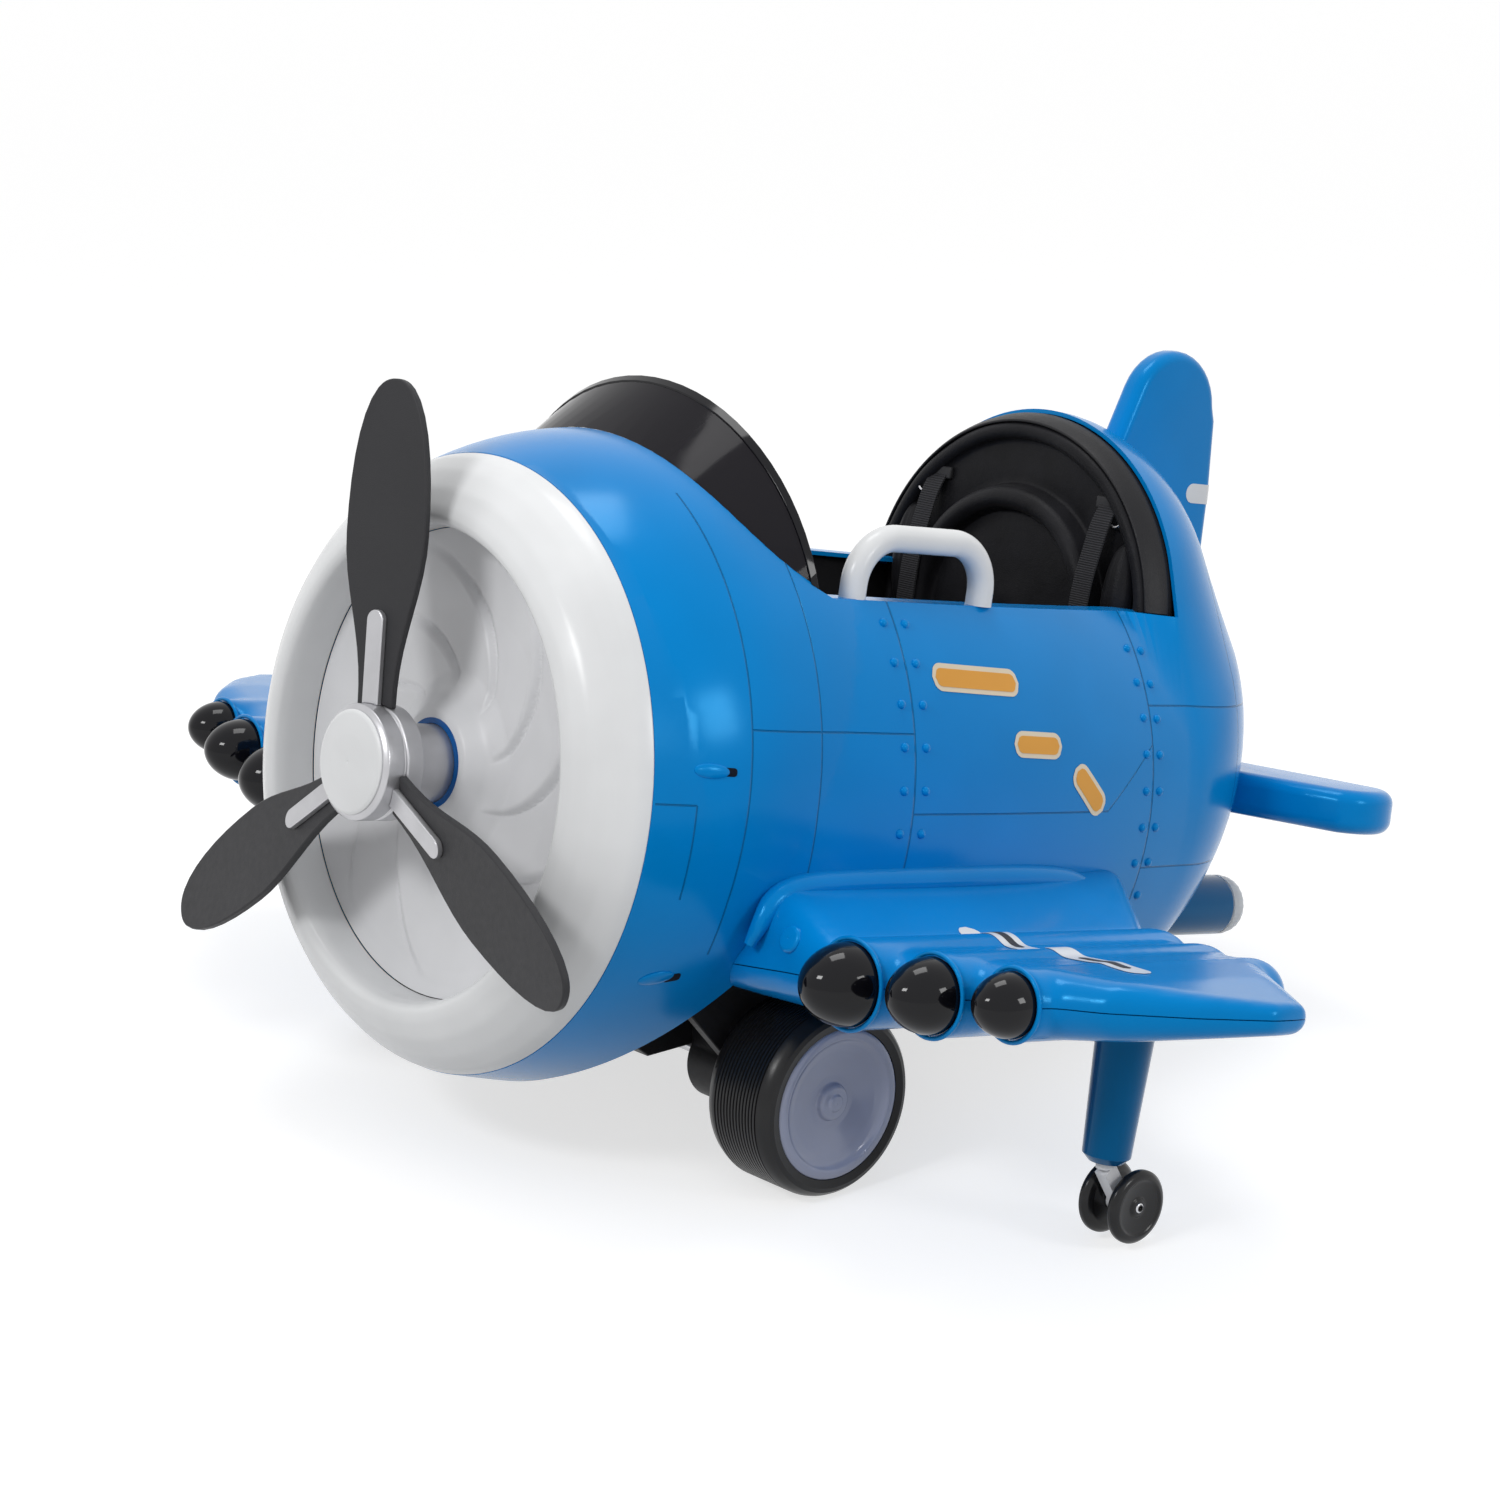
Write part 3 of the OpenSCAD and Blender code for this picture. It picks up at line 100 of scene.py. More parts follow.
# Lines
def barrel_at(s):
    if s < wide_at:
        return barrel_r - (barrel_r - ring_r) * ((wide_at - s) / wide_at) ** 2
    return barrel_r - (barrel_r - rear_r) * ((s - wide_at) / (barrel_len - wide_at)) ** 2


def deck_at(s):
    """Radius of the raised deck, about a line deck_rise above the barrel's own."""
    if s < 130:
        return ring_r + 31 * (1 - ((130 - s) / 130) ** 2) - deck_rise
    return ring_r + 31 - 3 * ((s - 130) / 70) ** 2 - deck_rise


def wing_mid(x):
    return wing_h0 + dihedral * x


def arc(x, y, radius, first, last, steps, tall=None):
    """Points of an arc between two angles in degrees; tall is its upright half axis, if not round."""
    angles = [math.radians(first + (last - first) * k / steps) for k in range(steps + 1)]
    return [(x + radius * math.cos(a), y + (tall or radius) * math.sin(a)) for a in angles]


def rounded(points, radius, steps=4, closed=True):
    """The outline with each corner turned into a small curve."""
    out = []
    count = len(points)
    for i, here in enumerate(points):
        here = Vector(here)
        if not closed and i in (0, count - 1):
            out.append(here)
            continue
        before, after = Vector(points[i - 1]), Vector(points[(i + 1) % count])
        r = min(radius, (before - here).length * 0.45, (after - here).length * 0.45)
        a = here + (before - here).normalized() * r
        b = here + (after - here).normalized() * r
        for k in range(steps + 1):
            u = k / steps
            out.append(a * (1 - u) ** 2 + here * 2 * u * (1 - u) + b * u * u)
    return [tuple(p) for p in out]


# Shapes
def shift(x=0, s=0, h=0):
    return Matrix.Translation((x, s, h))


def turn(degrees, axis):
    return Matrix.Rotation(math.radians(degrees), 4, axis)


def placed(bm, place):
    bmesh.ops.transform(bm, matrix=place, verts=bm.verts)
    return bm


def only_verts(geom):
    return [g for g in geom if isinstance(g, bmesh.types.BMVert)]


def turned(points, steps=128, closed=True):
    """A turned shape round Z from a profile of radius and height."""
    bm = bmesh.new()
    if points[0][0] <= 0 and points[-1][0] <= 0:
        closed = False
    verts = [bm.verts.new((max(r, 0), 0, z)) for r, z in points]
    edges = [bm.edges.new((verts[i - 1], verts[i])) for i in range(0 if closed else 1, len(verts))]
    bmesh.ops.spin(bm, geom=verts + edges, cent=(0, 0, 0), axis=(0, 0, 1), dvec=(0, 0, 0),
                   angle=2 * math.pi, steps=steps, use_merge=True, use_duplicate=False)
    bmesh.ops.remove_doubles(bm, verts=bm.verts, dist=0.001)
    return bm


def extruded(corners, move):
    """A flat face through the corners, made thick along a direction."""
    bm = bmesh.new()
    face = bm.faces.new([bm.verts.new(corner) for corner in corners])
    out = bmesh.ops.extrude_face_region(bm, geom=[face])
    bmesh.ops.translate(bm, verts=only_verts(out["geom"]), vec=move)
    return bm


def bevelled(bm, edges, width, segments):
    bmesh.ops.bevel(bm, geom=edges, offset=width, offset_type="OFFSET", segments=segments,
                    profile=0.5, affect="EDGES", material=-1)
    return bm


def slab(points, thickness, bevel, segments=4):
    """A flat outline in x and z, made thick along y both ways, with rounded edges."""
    bm = extruded([(x, -thickness / 2, z) for x, z in points], (0, thickness, 0))
    rim = [e for e in bm.edges if abs(e.verts[0].co.y - e.verts[1].co.y) < 1e-6]
    return bevelled(bm, rim, bevel, segments)


def block(lo, hi, bevel=0.0, segments=3):
    bm = bmesh.new()
    lo, hi = Vector(lo), Vector(hi)
    size = Matrix.Diagonal((*(hi - lo), 1))
    bmesh.ops.create_cube(bm, size=1, matrix=Matrix.Translation((lo + hi) / 2) @ size)
    return bevelled(bm, list(bm.edges), bevel, segments) if bevel else bm


def ball(around, down):
    bm = bmesh.new()
    bmesh.ops.create_uvsphere(bm, u_segments=around, v_segments=down, radius=1)
    return bm


def rod(radius, depth, place, segments=96):
    bm = bmesh.new()
    bmesh.ops.create_cone(bm, cap_ends=True, segments=segments, radius1=radius, radius2=radius,
                          depth=depth, matrix=place)
    return bm


def thickened(bm, thickness):
    """The open sheet with a thickness of its own."""
    bmesh.ops.recalc_face_normals(bm, faces=bm.faces)
    bmesh.ops.solidify(bm, geom=bm.faces, thickness=thickness)
    return bm


def ring_joined(bm, verts, before):
    """Bridges a ring of vertices to the edges of the one before it; the first ring is filled."""
    edges = list({e for v in verts for e in v.link_edges})
    if before:
        bmesh.ops.bridge_loops(bm, edges=before + edges)
    else:
        bmesh.ops.edgeloop_fill(bm, edges=edges)
    return edges


def joined(*shapes):
    """Several shapes in one bmesh; each may come with its own matrix."""
    out = bmesh.new()
    mesh = bpy.data.meshes.new("part")
    for shape in shapes:
        bm, place = shape if isinstance(shape, tuple) else (shape, None)
        if place is not None:
            placed(bm, place)
            if place.determinant() < 0:
                bmesh.ops.reverse_faces(bm, faces=bm.faces)
        bm.to_mesh(mesh)
        bm.free()
        out.from_mesh(mesh)
    bpy.data.meshes.remove(mesh)
    return out


def both_sides(make):
    """The port shape and its mirror image."""
    return joined(make(), (make(), MIRROR))


# Objects and pieces
def new_object(name, bm, place=BODY):
    """The bmesh as an object; one without a place is in metres already, with its faces right."""
    if place is not None:
        placed(bm, place)
        bmesh.ops.recalc_face_normals(bm, faces=bm.faces)
    mesh = bpy.data.meshes.new(name)
    bm.to_mesh(mesh)
    bm.free()
    obj = bpy.data.objects.new(name, mesh)
    bpy.context.scene.collection.objects.link(obj)
    return obj


def add_piece(name, bm, finish, node=None, body="airframe", place=BODY, smooth=35):
    """A finished piece that rides on a body, and takes the place of a CAD node if one is named."""
    obj = new_object(name, bm, place)
    obj.data.shade_smooth()
    obj.data.set_sharp_from_angle(angle=math.radians(smooth))
    obj.data.materials.append(finishes[finish])
    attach(obj, body)
    if node:
        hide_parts(node)
    return obj


def soften(obj, width, segments=3, angle=40):
    """Live rounding of the piece's sharp edges, in millimetres."""
    modifier = obj.modifiers.new("soft_edges", "BEVEL")
    modifier.width, modifier.segments = width * 0.001, segments
    modifier.limit_method, modifier.angle_limit = "ANGLE", math.radians(angle)
    modifier.harden_normals = False


def add_soft_copy(node, name, finish, width, body="airframe", segments=2, smooth=40, angle=40):
    """The CAD node's own solid as a piece, with rounded edges if a width is given."""
    bm = bmesh.new()
    bm.from_mesh(frame["nodes"][node].data)
    bmesh.ops.remove_doubles(bm, verts=bm.verts, dist=0.00002)
    bmesh.ops.dissolve_limit(bm, angle_limit=math.radians(0.6), verts=bm.verts, edges=bm.edges)
    obj = add_piece(name, bm, finish, node, body, None, smooth)
    if width:
        soften(obj, width, segments, angle)


def bake(obj):
    """Applies the piece's modifiers to its mesh."""
    graph = bpy.context.evaluated_depsgraph_get()
    graph.update()
    mesh = bpy.data.meshes.new_from_object(obj.evaluated_get(graph))
    obj.modifiers.clear()
    old = obj.data
    obj.data = mesh
    bpy.data.meshes.remove(old)


def drop(obj):
    mesh = obj.data
    bpy.data.objects.remove(obj)
    bpy.data.meshes.remove(mesh)


def cut(obj, tool, operation="DIFFERENCE"):
    """Cuts the object with another, or with a shape in the body's frame; the tool then goes."""
    if isinstance(tool, bmesh.types.BMesh):
        tool = new_object("tool", tool)
    modifier = obj.modifiers.new("cut", "BOOLEAN")
    modifier.operation, modifier.solver, modifier.object = operation, "EXACT", tool
    bake(obj)
    drop(tool)


def fused(obj, voxel):
    """Makes overlapping shapes one even skin; the voxel is in metres."""
    modifier = obj.modifiers.new("fuse", "REMESH")
    modifier.mode, modifier.voxel_size = "VOXEL", voxel
    bake(obj)


def released(obj, merge=0.00001):
    """The object's mesh as a bmesh, with its doubles merged; the object then goes."""
    bm = bmesh.new()
    bm.from_mesh(obj.data)
    drop(obj)
    if merge:
        bmesh.ops.remove_doubles(bm, verts=bm.verts, dist=merge)
    return bm


# Finishes
def base_material(name, colour, roughness, **sockets):
    material = bpy.data.materials.new(name)
    material.use_nodes = True
    shader = material.node_tree.nodes["Principled BSDF"]
    shader.inputs["Base Color"].default_value = (*colour, 1)
    shader.inputs["Roughness"].default_value = roughness
    for socket, value in sockets.items():
        shader.inputs[socket.replace("_", " ")].default_value = value
    return material, material.node_tree, shader


def object_coordinates(tree):
    return tree.nodes.new("ShaderNodeTexCoord").outputs["Object"]


def noise(tree, vector, scale, detail=3.0, stretch=None):
    if stretch:
        mapping = tree.nodes.new("ShaderNodeMapping")
        mapping.inputs["Scale"].default_value = stretch
        tree.links.new(vector, mapping.inputs["Vector"])
        vector = mapping.outputs["Vector"]
    node = tree.nodes.new("ShaderNodeTexNoise")
    node.inputs["Scale"].default_value = scale
    node.inputs["Detail"].default_value = detail
    tree.links.new(vector, node.inputs["Vector"])
    return node.outputs["Fac"]


def between(tree, value, low, high):
    """The 0 to 1 value moved to a range, for a socket that varies."""
    node = tree.nodes.new("ShaderNodeMapRange")
    node.inputs["To Min"].default_value, node.inputs["To Max"].default_value = low, high
    tree.links.new(value, node.inputs["Value"])
    return node.outputs["Result"]


def shaded(colour, factor):
    return (*(c * factor for c in colour), 1)


def two_tones(tree, value, colour, dark, light, low=0.35, high=0.65):
    """The colour drifting between a darker and a lighter tone of itself."""
    ramp = tree.nodes.new("ShaderNodeValToRGB")
    first, last = ramp.color_ramp.elements
    first.position, first.color = low, shaded(colour, dark)
    last.position, last.color = high, shaded(colour, light)
    tree.links.new(value, ramp.inputs["Fac"])
    return ramp.outputs["Color"]


def math_node(tree, operation, a, b=None):
    node = tree.nodes.new("ShaderNodeMath")
    node.operation = operation
    for socket, value in zip(node.inputs, (a, b)):
        if isinstance(value, (int, float)):
            socket.default_value = value
        elif value is not None:
            tree.links.new(value, socket)
    return node.outputs["Value"]


def add_bump(tree, shader, height, distance, strength=1.0):
    bump = tree.nodes.new("ShaderNodeBump")
    bump.inputs["Distance"].default_value = distance
    bump.inputs["Strength"].default_value = strength
    tree.links.new(height, bump.inputs["Height"])
    tree.links.new(bump.outputs["Normal"], shader.inputs["Normal"])


def vary_colour(tree, shader, value, *tones):
    tree.links.new(two_tones(tree, value, *tones), shader.inputs["Base Color"])


def vary_gloss(tree, shader, value, low, high):
    tree.links.new(between(tree, value, low, high), shader.inputs["Roughness"])


def moulded(name, colour, roughness, specular=0.5, grain=0.0, ripple=0.00012, **sockets):
    """Moulded plastic: uneven gloss, and a fine texture or, without one, a slight flow ripple."""
    material, tree, shader = base_material(name, colour, roughness, Specular_IOR_Level=specular,
                                           **sockets)
    where = object_coordinates(tree)
    vary_colour(tree, shader, noise(tree, where, 7), colour, 0.94, 1.05)
    vary_gloss(tree, shader, noise(tree, where, 160), roughness * 0.8, roughness * 1.2)
    if grain:
        add_bump(tree, shader, noise(tree, where, 900, 2), grain)
    else:
        add_bump(tree, shader, noise(tree, where, 14, 1), ripple)
    return material


def body_coordinates(tree):
    """Separate x, s and h in metres in the body's own frame."""
    mapping = tree.nodes.new("ShaderNodeMapping")
    back = (Matrix.Translation(ring_centre) @ Matrix.Rotation(-pitch, 4, "X")).inverted()
    mapping.inputs["Rotation"].default_value = (pitch, 0, 0)
    mapping.inputs["Location"].default_value = back.to_translation()
    tree.links.new(object_coordinates(tree), mapping.inputs["Vector"])
    split = tree.nodes.new("ShaderNodeSeparateXYZ")
    tree.links.new(mapping.outputs["Vector"], split.inputs["Vector"])
    return split.outputs


def groove(tree, along, place, width=0.9, across=None, first=0.0, last=0.0):
    """1 in a narrow line where along equals place, limited to first..last of across, in mm."""
    distance = math_node(tree, "ABSOLUTE", math_node(tree, "SUBTRACT", along, place * 0.001))
    line = tree.nodes.new("ShaderNodeMapRange")
    line.interpolation_type = "SMOOTHSTEP"
    for socket, value in (("From Min", width * 0.0004), ("From Max", width * 0.0011),
                          ("To Min", 1), ("To Max", 0)):
        line.inputs[socket].default_value = value
    tree.links.new(distance, line.inputs["Value"])
    if across is None:
        return line.outputs["Result"]
    off_centre = math_node(tree, "SUBTRACT", across, (first + last) * 0.0005)
    inside = math_node(tree, "LESS_THAN", math_node(tree, "ABSOLUTE", off_centre),
                       (last - first) * 0.0005)
    return math_node(tree, "MULTIPLY", line.outputs["Result"], inside)


def body_blue(name, colour, panels=True):
    """Gloss blue plastic, with the moulded panel lines of the body shell where it has them."""
    material, tree, shader = base_material(name, colour, 0.2, Specular_IOR_Level=0.4,
                                           Specular_Tint=(0.12, 0.62, 1, 1))
    where = object_coordinates(tree)
    tone = two_tones(tree, noise(tree, where, 5), colour, 0.93, 1.06)
    vary_gloss(tree, shader, noise(tree, where, 130), 0.15, 0.24)
    ripple = noise(tree, where, 11, 1)
    if not panels:
        tree.links.new(tone, shader.inputs["Base Color"])
        add_bump(tree, shader, ripple, 0.00015)
        return material
    _, s, h = body_coordinates(tree)
    slant = math_node(tree, "SUBTRACT", h, math_node(tree, "MULTIPLY", s, 0.87))
    mask = 0
    for line in ((s, 90, 0.9, h, -110, 262), (s, 166, 0.9, h, -200, 240),
                 (s, 276, 1.2), (s, 609.5, 1.2), (s, 755, 1.0),
                 (h, 84, 0.9, s, 90, 276), (h, 16, 0.9, s, 276, 541), (slant, -454.7, 0.9, s, 541, 609),
                 (h, 20, 0.9, s, 2, 42), (s, 42, 0.9, h, -60, 20),
                 (h, 110, 0.9, s, 609, 860), (h, -40, 0.9, s, 609, 860)):
        mask = math_node(tree, "MAXIMUM", mask, groove(tree, *line))
    mix = tree.nodes.new("ShaderNodeMix")
    mix.data_type = "RGBA"
    mix.inputs[7].default_value = shaded(colour, 0.3)
    tree.links.new(math_node(tree, "MULTIPLY", mask, 0.6), mix.inputs["Factor"])
    tree.links.new(tone, mix.inputs[6])
    tree.links.new(mix.outputs[2], shader.inputs["Base Color"])
    height = math_node(tree, "SUBTRACT", math_node(tree, "MULTIPLY", ripple, 0.15), mask)
    add_bump(tree, shader, height, 0.0009)
    return material


def clear_smoke(name):
    """Smoked sheet that lets almost no light through."""
    material, tree, shader = base_material(name, (0.014, 0.013, 0.016), 0.08, Alpha=0.97,
                                           Specular_IOR_Level=0.08)
    where = object_coordinates(tree)
    add_bump(tree, shader, noise(tree, where, 18, 1), 0.0002)
    vary_gloss(tree, shader, noise(tree, where, 90), 0.04, 0.1)
    return material


def brushed(name, colour, roughness, metallic=1.0):
    material, tree, shader = base_material(name, colour, roughness, Metallic=metallic)
    where = object_coordinates(tree)
    streaks = noise(tree, where, 40, 3, stretch=(1, 14, 1))
    vary_gloss(tree, shader, streaks, roughness * 0.75, roughness * 1.3)
    vary_colour(tree, shader, noise(tree, where, 30), colour, 0.94, 1.04)
    add_bump(tree, shader, streaks, 0.00006)
    return material


def soft_leather(name, colour):
    """Grained seat cover with creases; its colour is painted darker in the crease hollows and lighter on their
    ridges, as painted shade and sheen.
    """
    material, tree, shader = base_material(name, colour, 0.42, Specular_IOR_Level=0.12,
                                           Sheen_Weight=0.02)
    where = object_coordinates(tree)
    grain = tree.nodes.new("ShaderNodeTexVoronoi")
    grain.feature = "DISTANCE_TO_EDGE"
    grain.inputs["Scale"].default_value = 520
    tree.links.new(where, grain.inputs["Vector"])
    creases = noise(tree, where, 26, 4)
    vary_gloss(tree, shader, creases, 0.36, 0.52)
    # Painted shade and sheen: the colour follows the crease relief, dark in its hollows and light on its ridges
    vary_colour(tree, shader, creases, colour, 0.8, 1.35)
    height = math_node(tree, "ADD", math_node(tree, "MULTIPLY", grain.outputs["Distance"], 0.5),
                       math_node(tree, "MULTIPLY", creases, 1.6))
    add_bump(tree, shader, height, 0.0009, 0.7)
    return material


def woven(name, colour, rib=0.0022):
    """Webbing: cross ribs under a roughness of fine threads; its colour is painted darker between the ribs and
    lighter on them, as painted shade and sheen, with a random thread tone.
    """
    material, tree, shader = base_material(name, colour, 0.78, Specular_IOR_Level=0.2,
                                           Sheen_Weight=0.1)
    where = object_coordinates(tree)
    wave = tree.nodes.new("ShaderNodeTexWave")
    wave.bands_direction = "Z"
    wave.inputs["Scale"].default_value = 0.32 / rib
    wave.inputs["Distortion"].default_value = 0.4
    tree.links.new(where, wave.inputs["Vector"])
    threads = noise(tree, where, 700, 2)
    height = math_node(tree, "ADD", wave.outputs["Fac"], math_node(tree, "MULTIPLY", threads, 0.5))
    # Painted shade and sheen: dark between the ribs and light on them; the threads add a random tone
    vary_colour(tree, shader, height, colour, 0.6, 1.7, 0.3, 1.2)
    add_bump(tree, shader, height, 0.0006)
    return material


blue = (0.0, 0.21, 0.58)
finishes = {
    "blue_plastic": body_blue("shell_blue", blue),
    "plain_blue": body_blue("wing_blue", blue, panels=False),
    # Painted shade: a darker blue for the legs and exhaust tubes, standing in for the shade under the wings
    "shade_dark_blue": body_blue("leg_shade_darkened", (0.0, 0.075, 0.21), panels=False),
    "white_plastic": moulded("cowl_white", (0.75, 0.76, 0.77), 0.24, 0.3),
    "grey_plastic": moulded("plate_grey", (0.72, 0.725, 0.745), 0.34, 0.3),
    "black_plastic": moulded("tub_black", (0.014, 0.014, 0.016), 0.42, 0.2, grain=0.00025),
    "gloss_black": moulded("cone_black", (0.004, 0.004, 0.006), 0.07, 0.25),
    "charcoal_plastic": moulded("blade_charcoal", (0.034, 0.034, 0.037), 0.5, 0.2, grain=0.00015),
    "smoked_sheet": clear_smoke("smoked_sheet"),
    "silver_paint": brushed("hub_silver", (0.52, 0.52, 0.54), 0.34, 0.75),
    "steel": brushed("bright_steel", (0.6, 0.6, 0.62), 0.25),
    "seat_leather": soft_leather("seat_cover", (0.009, 0.009, 0.011)),
    "webbing": woven("strap_webbing", (0.017, 0.017, 0.02)),
    "tread": moulded("wheel_tread", (0.008, 0.008, 0.009), 0.3, 0.3, ripple=0.00005),
    "cover_grey": moulded("wheel_cover", (0.34, 0.37, 0.5), 0.14),
    "cream_print": moulded("bar_cream", (0.72, 0.62, 0.47), 0.35, 0.25),
    "orange_print": moulded("bar_orange", (0.72, 0.33, 0.05), 0.35, 0.25),
    "lamp_clear": moulded("lamp_cap", (0.72, 0.75, 0.78), 0.15, Transmission_Weight=0.35),
    "red_button": moulded("button_red", (0.55, 0.02, 0.03), 0.25),
    "yellow_button": moulded("button_amber", (0.75, 0.42, 0.03), 0.25),
    "board_green": moulded("case_green", (0.03, 0.09, 0.05), 0.45),
    "caster_black": moulded("caster_black", (0.01, 0.01, 0.011), 0.22, 0.3),
    # Painted shade: near black for the openings of slots, laid on as thin sheets
    "painted_slot_shade": moulded("slot_shade_dark", (0.004, 0.006, 0.012), 0.7, 0.1),
    # Painted shade for the gap round the propeller boss
    "gap_shade_navy": moulded("gap_shade_blue", (0.0, 0.09, 0.33), 0.35, 0.2),
}
# Each CAD node gets the finish that its material slot names
for node, obj in frame["nodes"].items():
    obj.data.materials.clear()
    obj.data.materials.append(finishes[slots[node]])


# Nose
def add_nose():
    cowl = rounded([(270, 0), (265.5, -12), (254, -27), (238, -41.5), (222, -50), (213, -52.3),
                    (207.5, -49), (205, -40), (205, -8), (209, -8), (211, -42), (221, -44),
                    (235, -36), (250, -23), (262, -9), (266, 0)], 4, 3)
    add_piece("nose_cowl_white", turned(cowl, 192), "white_plastic", "nose_cowl", place=BARREL,
              smooth=50)


def plate_height(r, angle):
    """Dish of the engine plate with its swirled petals."""
    knots = [(46, -26), (60, -12), (80, -1), (135, 2), (181, -3), (204.6, -8)]
    petals, top_at, fall, crease_at = 9, 0.62, 0.09, 0.73
    dish = knots[-1][1]
    for (r0, h0), (r1, h1) in zip(knots, knots[1:]):
        if r <= r1:
            dish = h0 + (h1 - h0) * ((r - r0) / (r1 - r0))
            break
    u = min(max((r - 66) / 126, 0), 1)
    wave = ((angle + u) * petals / (2 * math.pi)) % 1
    crest = min(1.0, wave / top_at) ** 1.4 * (1 - min(1.0, max(0.0, (wave - top_at) / fall)))
    crease = math.exp(-((wave - crease_at) / 0.022) ** 2)
    envelope = math.sin(math.pi * u ** 0.85) ** 0.6
    return dish - (5.2 * crest - 2.4 * crease) * envelope


def add_engine_plate():
    rings = 61
    flat = [(36, -26)] + [(46 + 158.6 * k / rings, -26) for k in range(rings + 1)]
    bm = turned(flat, 720, closed=False)
    for vert in bm.verts:
        r = math.hypot(vert.co.x, vert.co.y)
        if r > 45:
            vert.co.z = plate_height(r, math.atan2(vert.co.y, vert.co.x))
    inner = [e for e in bm.edges if e.is_boundary and e.verts[0].co.xy.length < 40]
    collar = bmesh.ops.extrude_edge_only(bm, edges=inner)
    bmesh.ops.translate(bm, verts=only_verts(collar["geom"]), vec=(0, 0, 34))
    add_piece("engine_plate_petals", bm, "grey_plastic", "engine_plate", place=BARREL, smooth=60)


def add_propeller():
    hub = joined(
        turned(rounded([(0, -68), (48.5, -68), (50, -70), (50, -86), (47.6, -87), (47.6, -89), (50, -90),
                        (50, -106), (46, -109), (0, -109)], 1.2, 3)),
        turned(rounded([(6, -20), (34, -20), (34, -62), (36.5, -66), (36.5, -69), (6, -69)], 1.0, 3)))
    add_piece("hub_turned", hub, "silver_paint", "prop_hub", "propeller", BARREL)
    cap = rounded([(0, -108.8), (45, -108.8), (45, -110.4), (42.5, -111.8), (24, -113.1), (0, -113.5)],
                  1.6, 4)
    add_piece("hub_cap_domed", turned(cap), "white_plastic", "hub_cap", "propeller", BARREL, 60)
    # Painted shade: a thin dark navy ring lying in the gap between the boss and the engine plate
    gap_shade_ring = turned([(34.6, -27), (39.6, -27), (39.6, -25.2), (34.6, -25.2)])
    add_piece("boss_gap_shade_ring", gap_shade_ring, "gap_shade_navy", place=BARREL)
    add_soft_copy("prop_blades", "blades_soft", "charcoal_plastic", 1.6, "propeller", 3, 30)
    add_soft_copy("blade_bars", "bars_soft", "silver_paint", 1.4, "propeller", 3, 30)


add_nose()
add_engine_plate()
add_propeller()


# Shells
def prism(points, half_width=320):
    """A side-view outline in s and h, as a block across the whole width."""
    return extruded([(-half_width, s, h) for s, h in points], (2 * half_width, 0, 0))


def cockpit_prism():
    return prism([(106, 303.5), (132, 263.5), (150, 240), (168, 219), (182, 206), (196, 196.5),
                  (209, 190.6), (215, 190), (672, 190), (672, 420), (106, 420)])


def belly_prism():
    return prism([(48, -300), (61, -255), (146, belly_h), (1010, belly_h), (1010, -300)])


def turned_solid(radius, first, last, inset, sides, rise=0):
    """A full body turned under one of the shell's lines, to join or cut with."""
    stations = [first + (last - first) * k / 40 for k in range(41)]
    profile = [(0, first)] + [(radius(s) - inset, s) for s in stations] + [(0, last)]
    return new_object("turned_solid", turned(profile, sides), BODY @ shift(h=rise) @ AFT)


def add_fuselage():
    shell = turned_solid(barrel_at, 0, barrel_len, 0, 192)
    cut(shell, turned_solid(deck_at, 0.6, 330, 0, 192, deck_rise), "UNION")
    cut(shell, cockpit_prism())
    cut(shell, belly_prism())
    hollow = turned_solid(barrel_at, -2, barrel_len + 2, wall, 180)
    cut(hollow, turned_solid(deck_at, -1.3, 332, wall, 180, deck_rise), "UNION")
    cut(shell, hollow)
    soften(add_piece("shell_blue_front", released(shell), "blue_plastic", "fuselage_shell",
                     place=None, smooth=25), 1.2, 2, 50)


def tail_t(s):
    """0 at the seat arch and 1 at the tip of the tail."""
    return max(0.0, (s - arch_s) / tail_len)


def tail_v(s):
    """0 at the end of the barrel and 1 at the seat arch."""
    return min(1.0, (s - barrel_len) / (arch_s - barrel_len))


def tail_low_r(s):
    return (rear_r + (tail_r - rear_r) * tail_v(s)) * max(1 - tail_t(s) ** 2.26, 0) ** 1.09


def tail_low_h(s):
    return 3 * tail_v(s) + (tail_tip_h - 3) * tail_t(s)


def tail_point(s, angle, inset=0.0):
    """A point of the tail's outline: a low circle joined with the circle of the seat arch."""
    rl, hl = tail_low_r(s) - inset, tail_low_h(s)
    ru = arch_r * max(1 - tail_t(s) ** 2, 0) ** 1.32 - inset
    hu = (rear_r - arch_r + (arch_h - rear_r + arch_r) * tail_v(s)
          + (tail_tip_h - arch_h) * tail_t(s) ** 2.27)
    ci, si = math.cos(angle), math.sin(angle)
    blend = 9.0
    low, high = rl + hl * ci, ru + hu * ci
    weight = min(max((high - low) / blend * 0.5 + 0.5, 0), 1)
    weight = weight * weight * (3 - 2 * weight)
    return Vector((rl * si * (1 - weight) + ru * si * weight, s,
                   (hl + rl * ci) * (1 - weight) + (hu + ru * ci) * weight))


def tail_stations():
    front = [barrel_len + 0.3 + (arch_s - barrel_len - 0.3) * k / 8 for k in range(9)]
    back = [arch_s + tail_len * 0.985 * math.sin(math.pi / 2 * k / 34) for k in range(1, 35)]
    return front + back


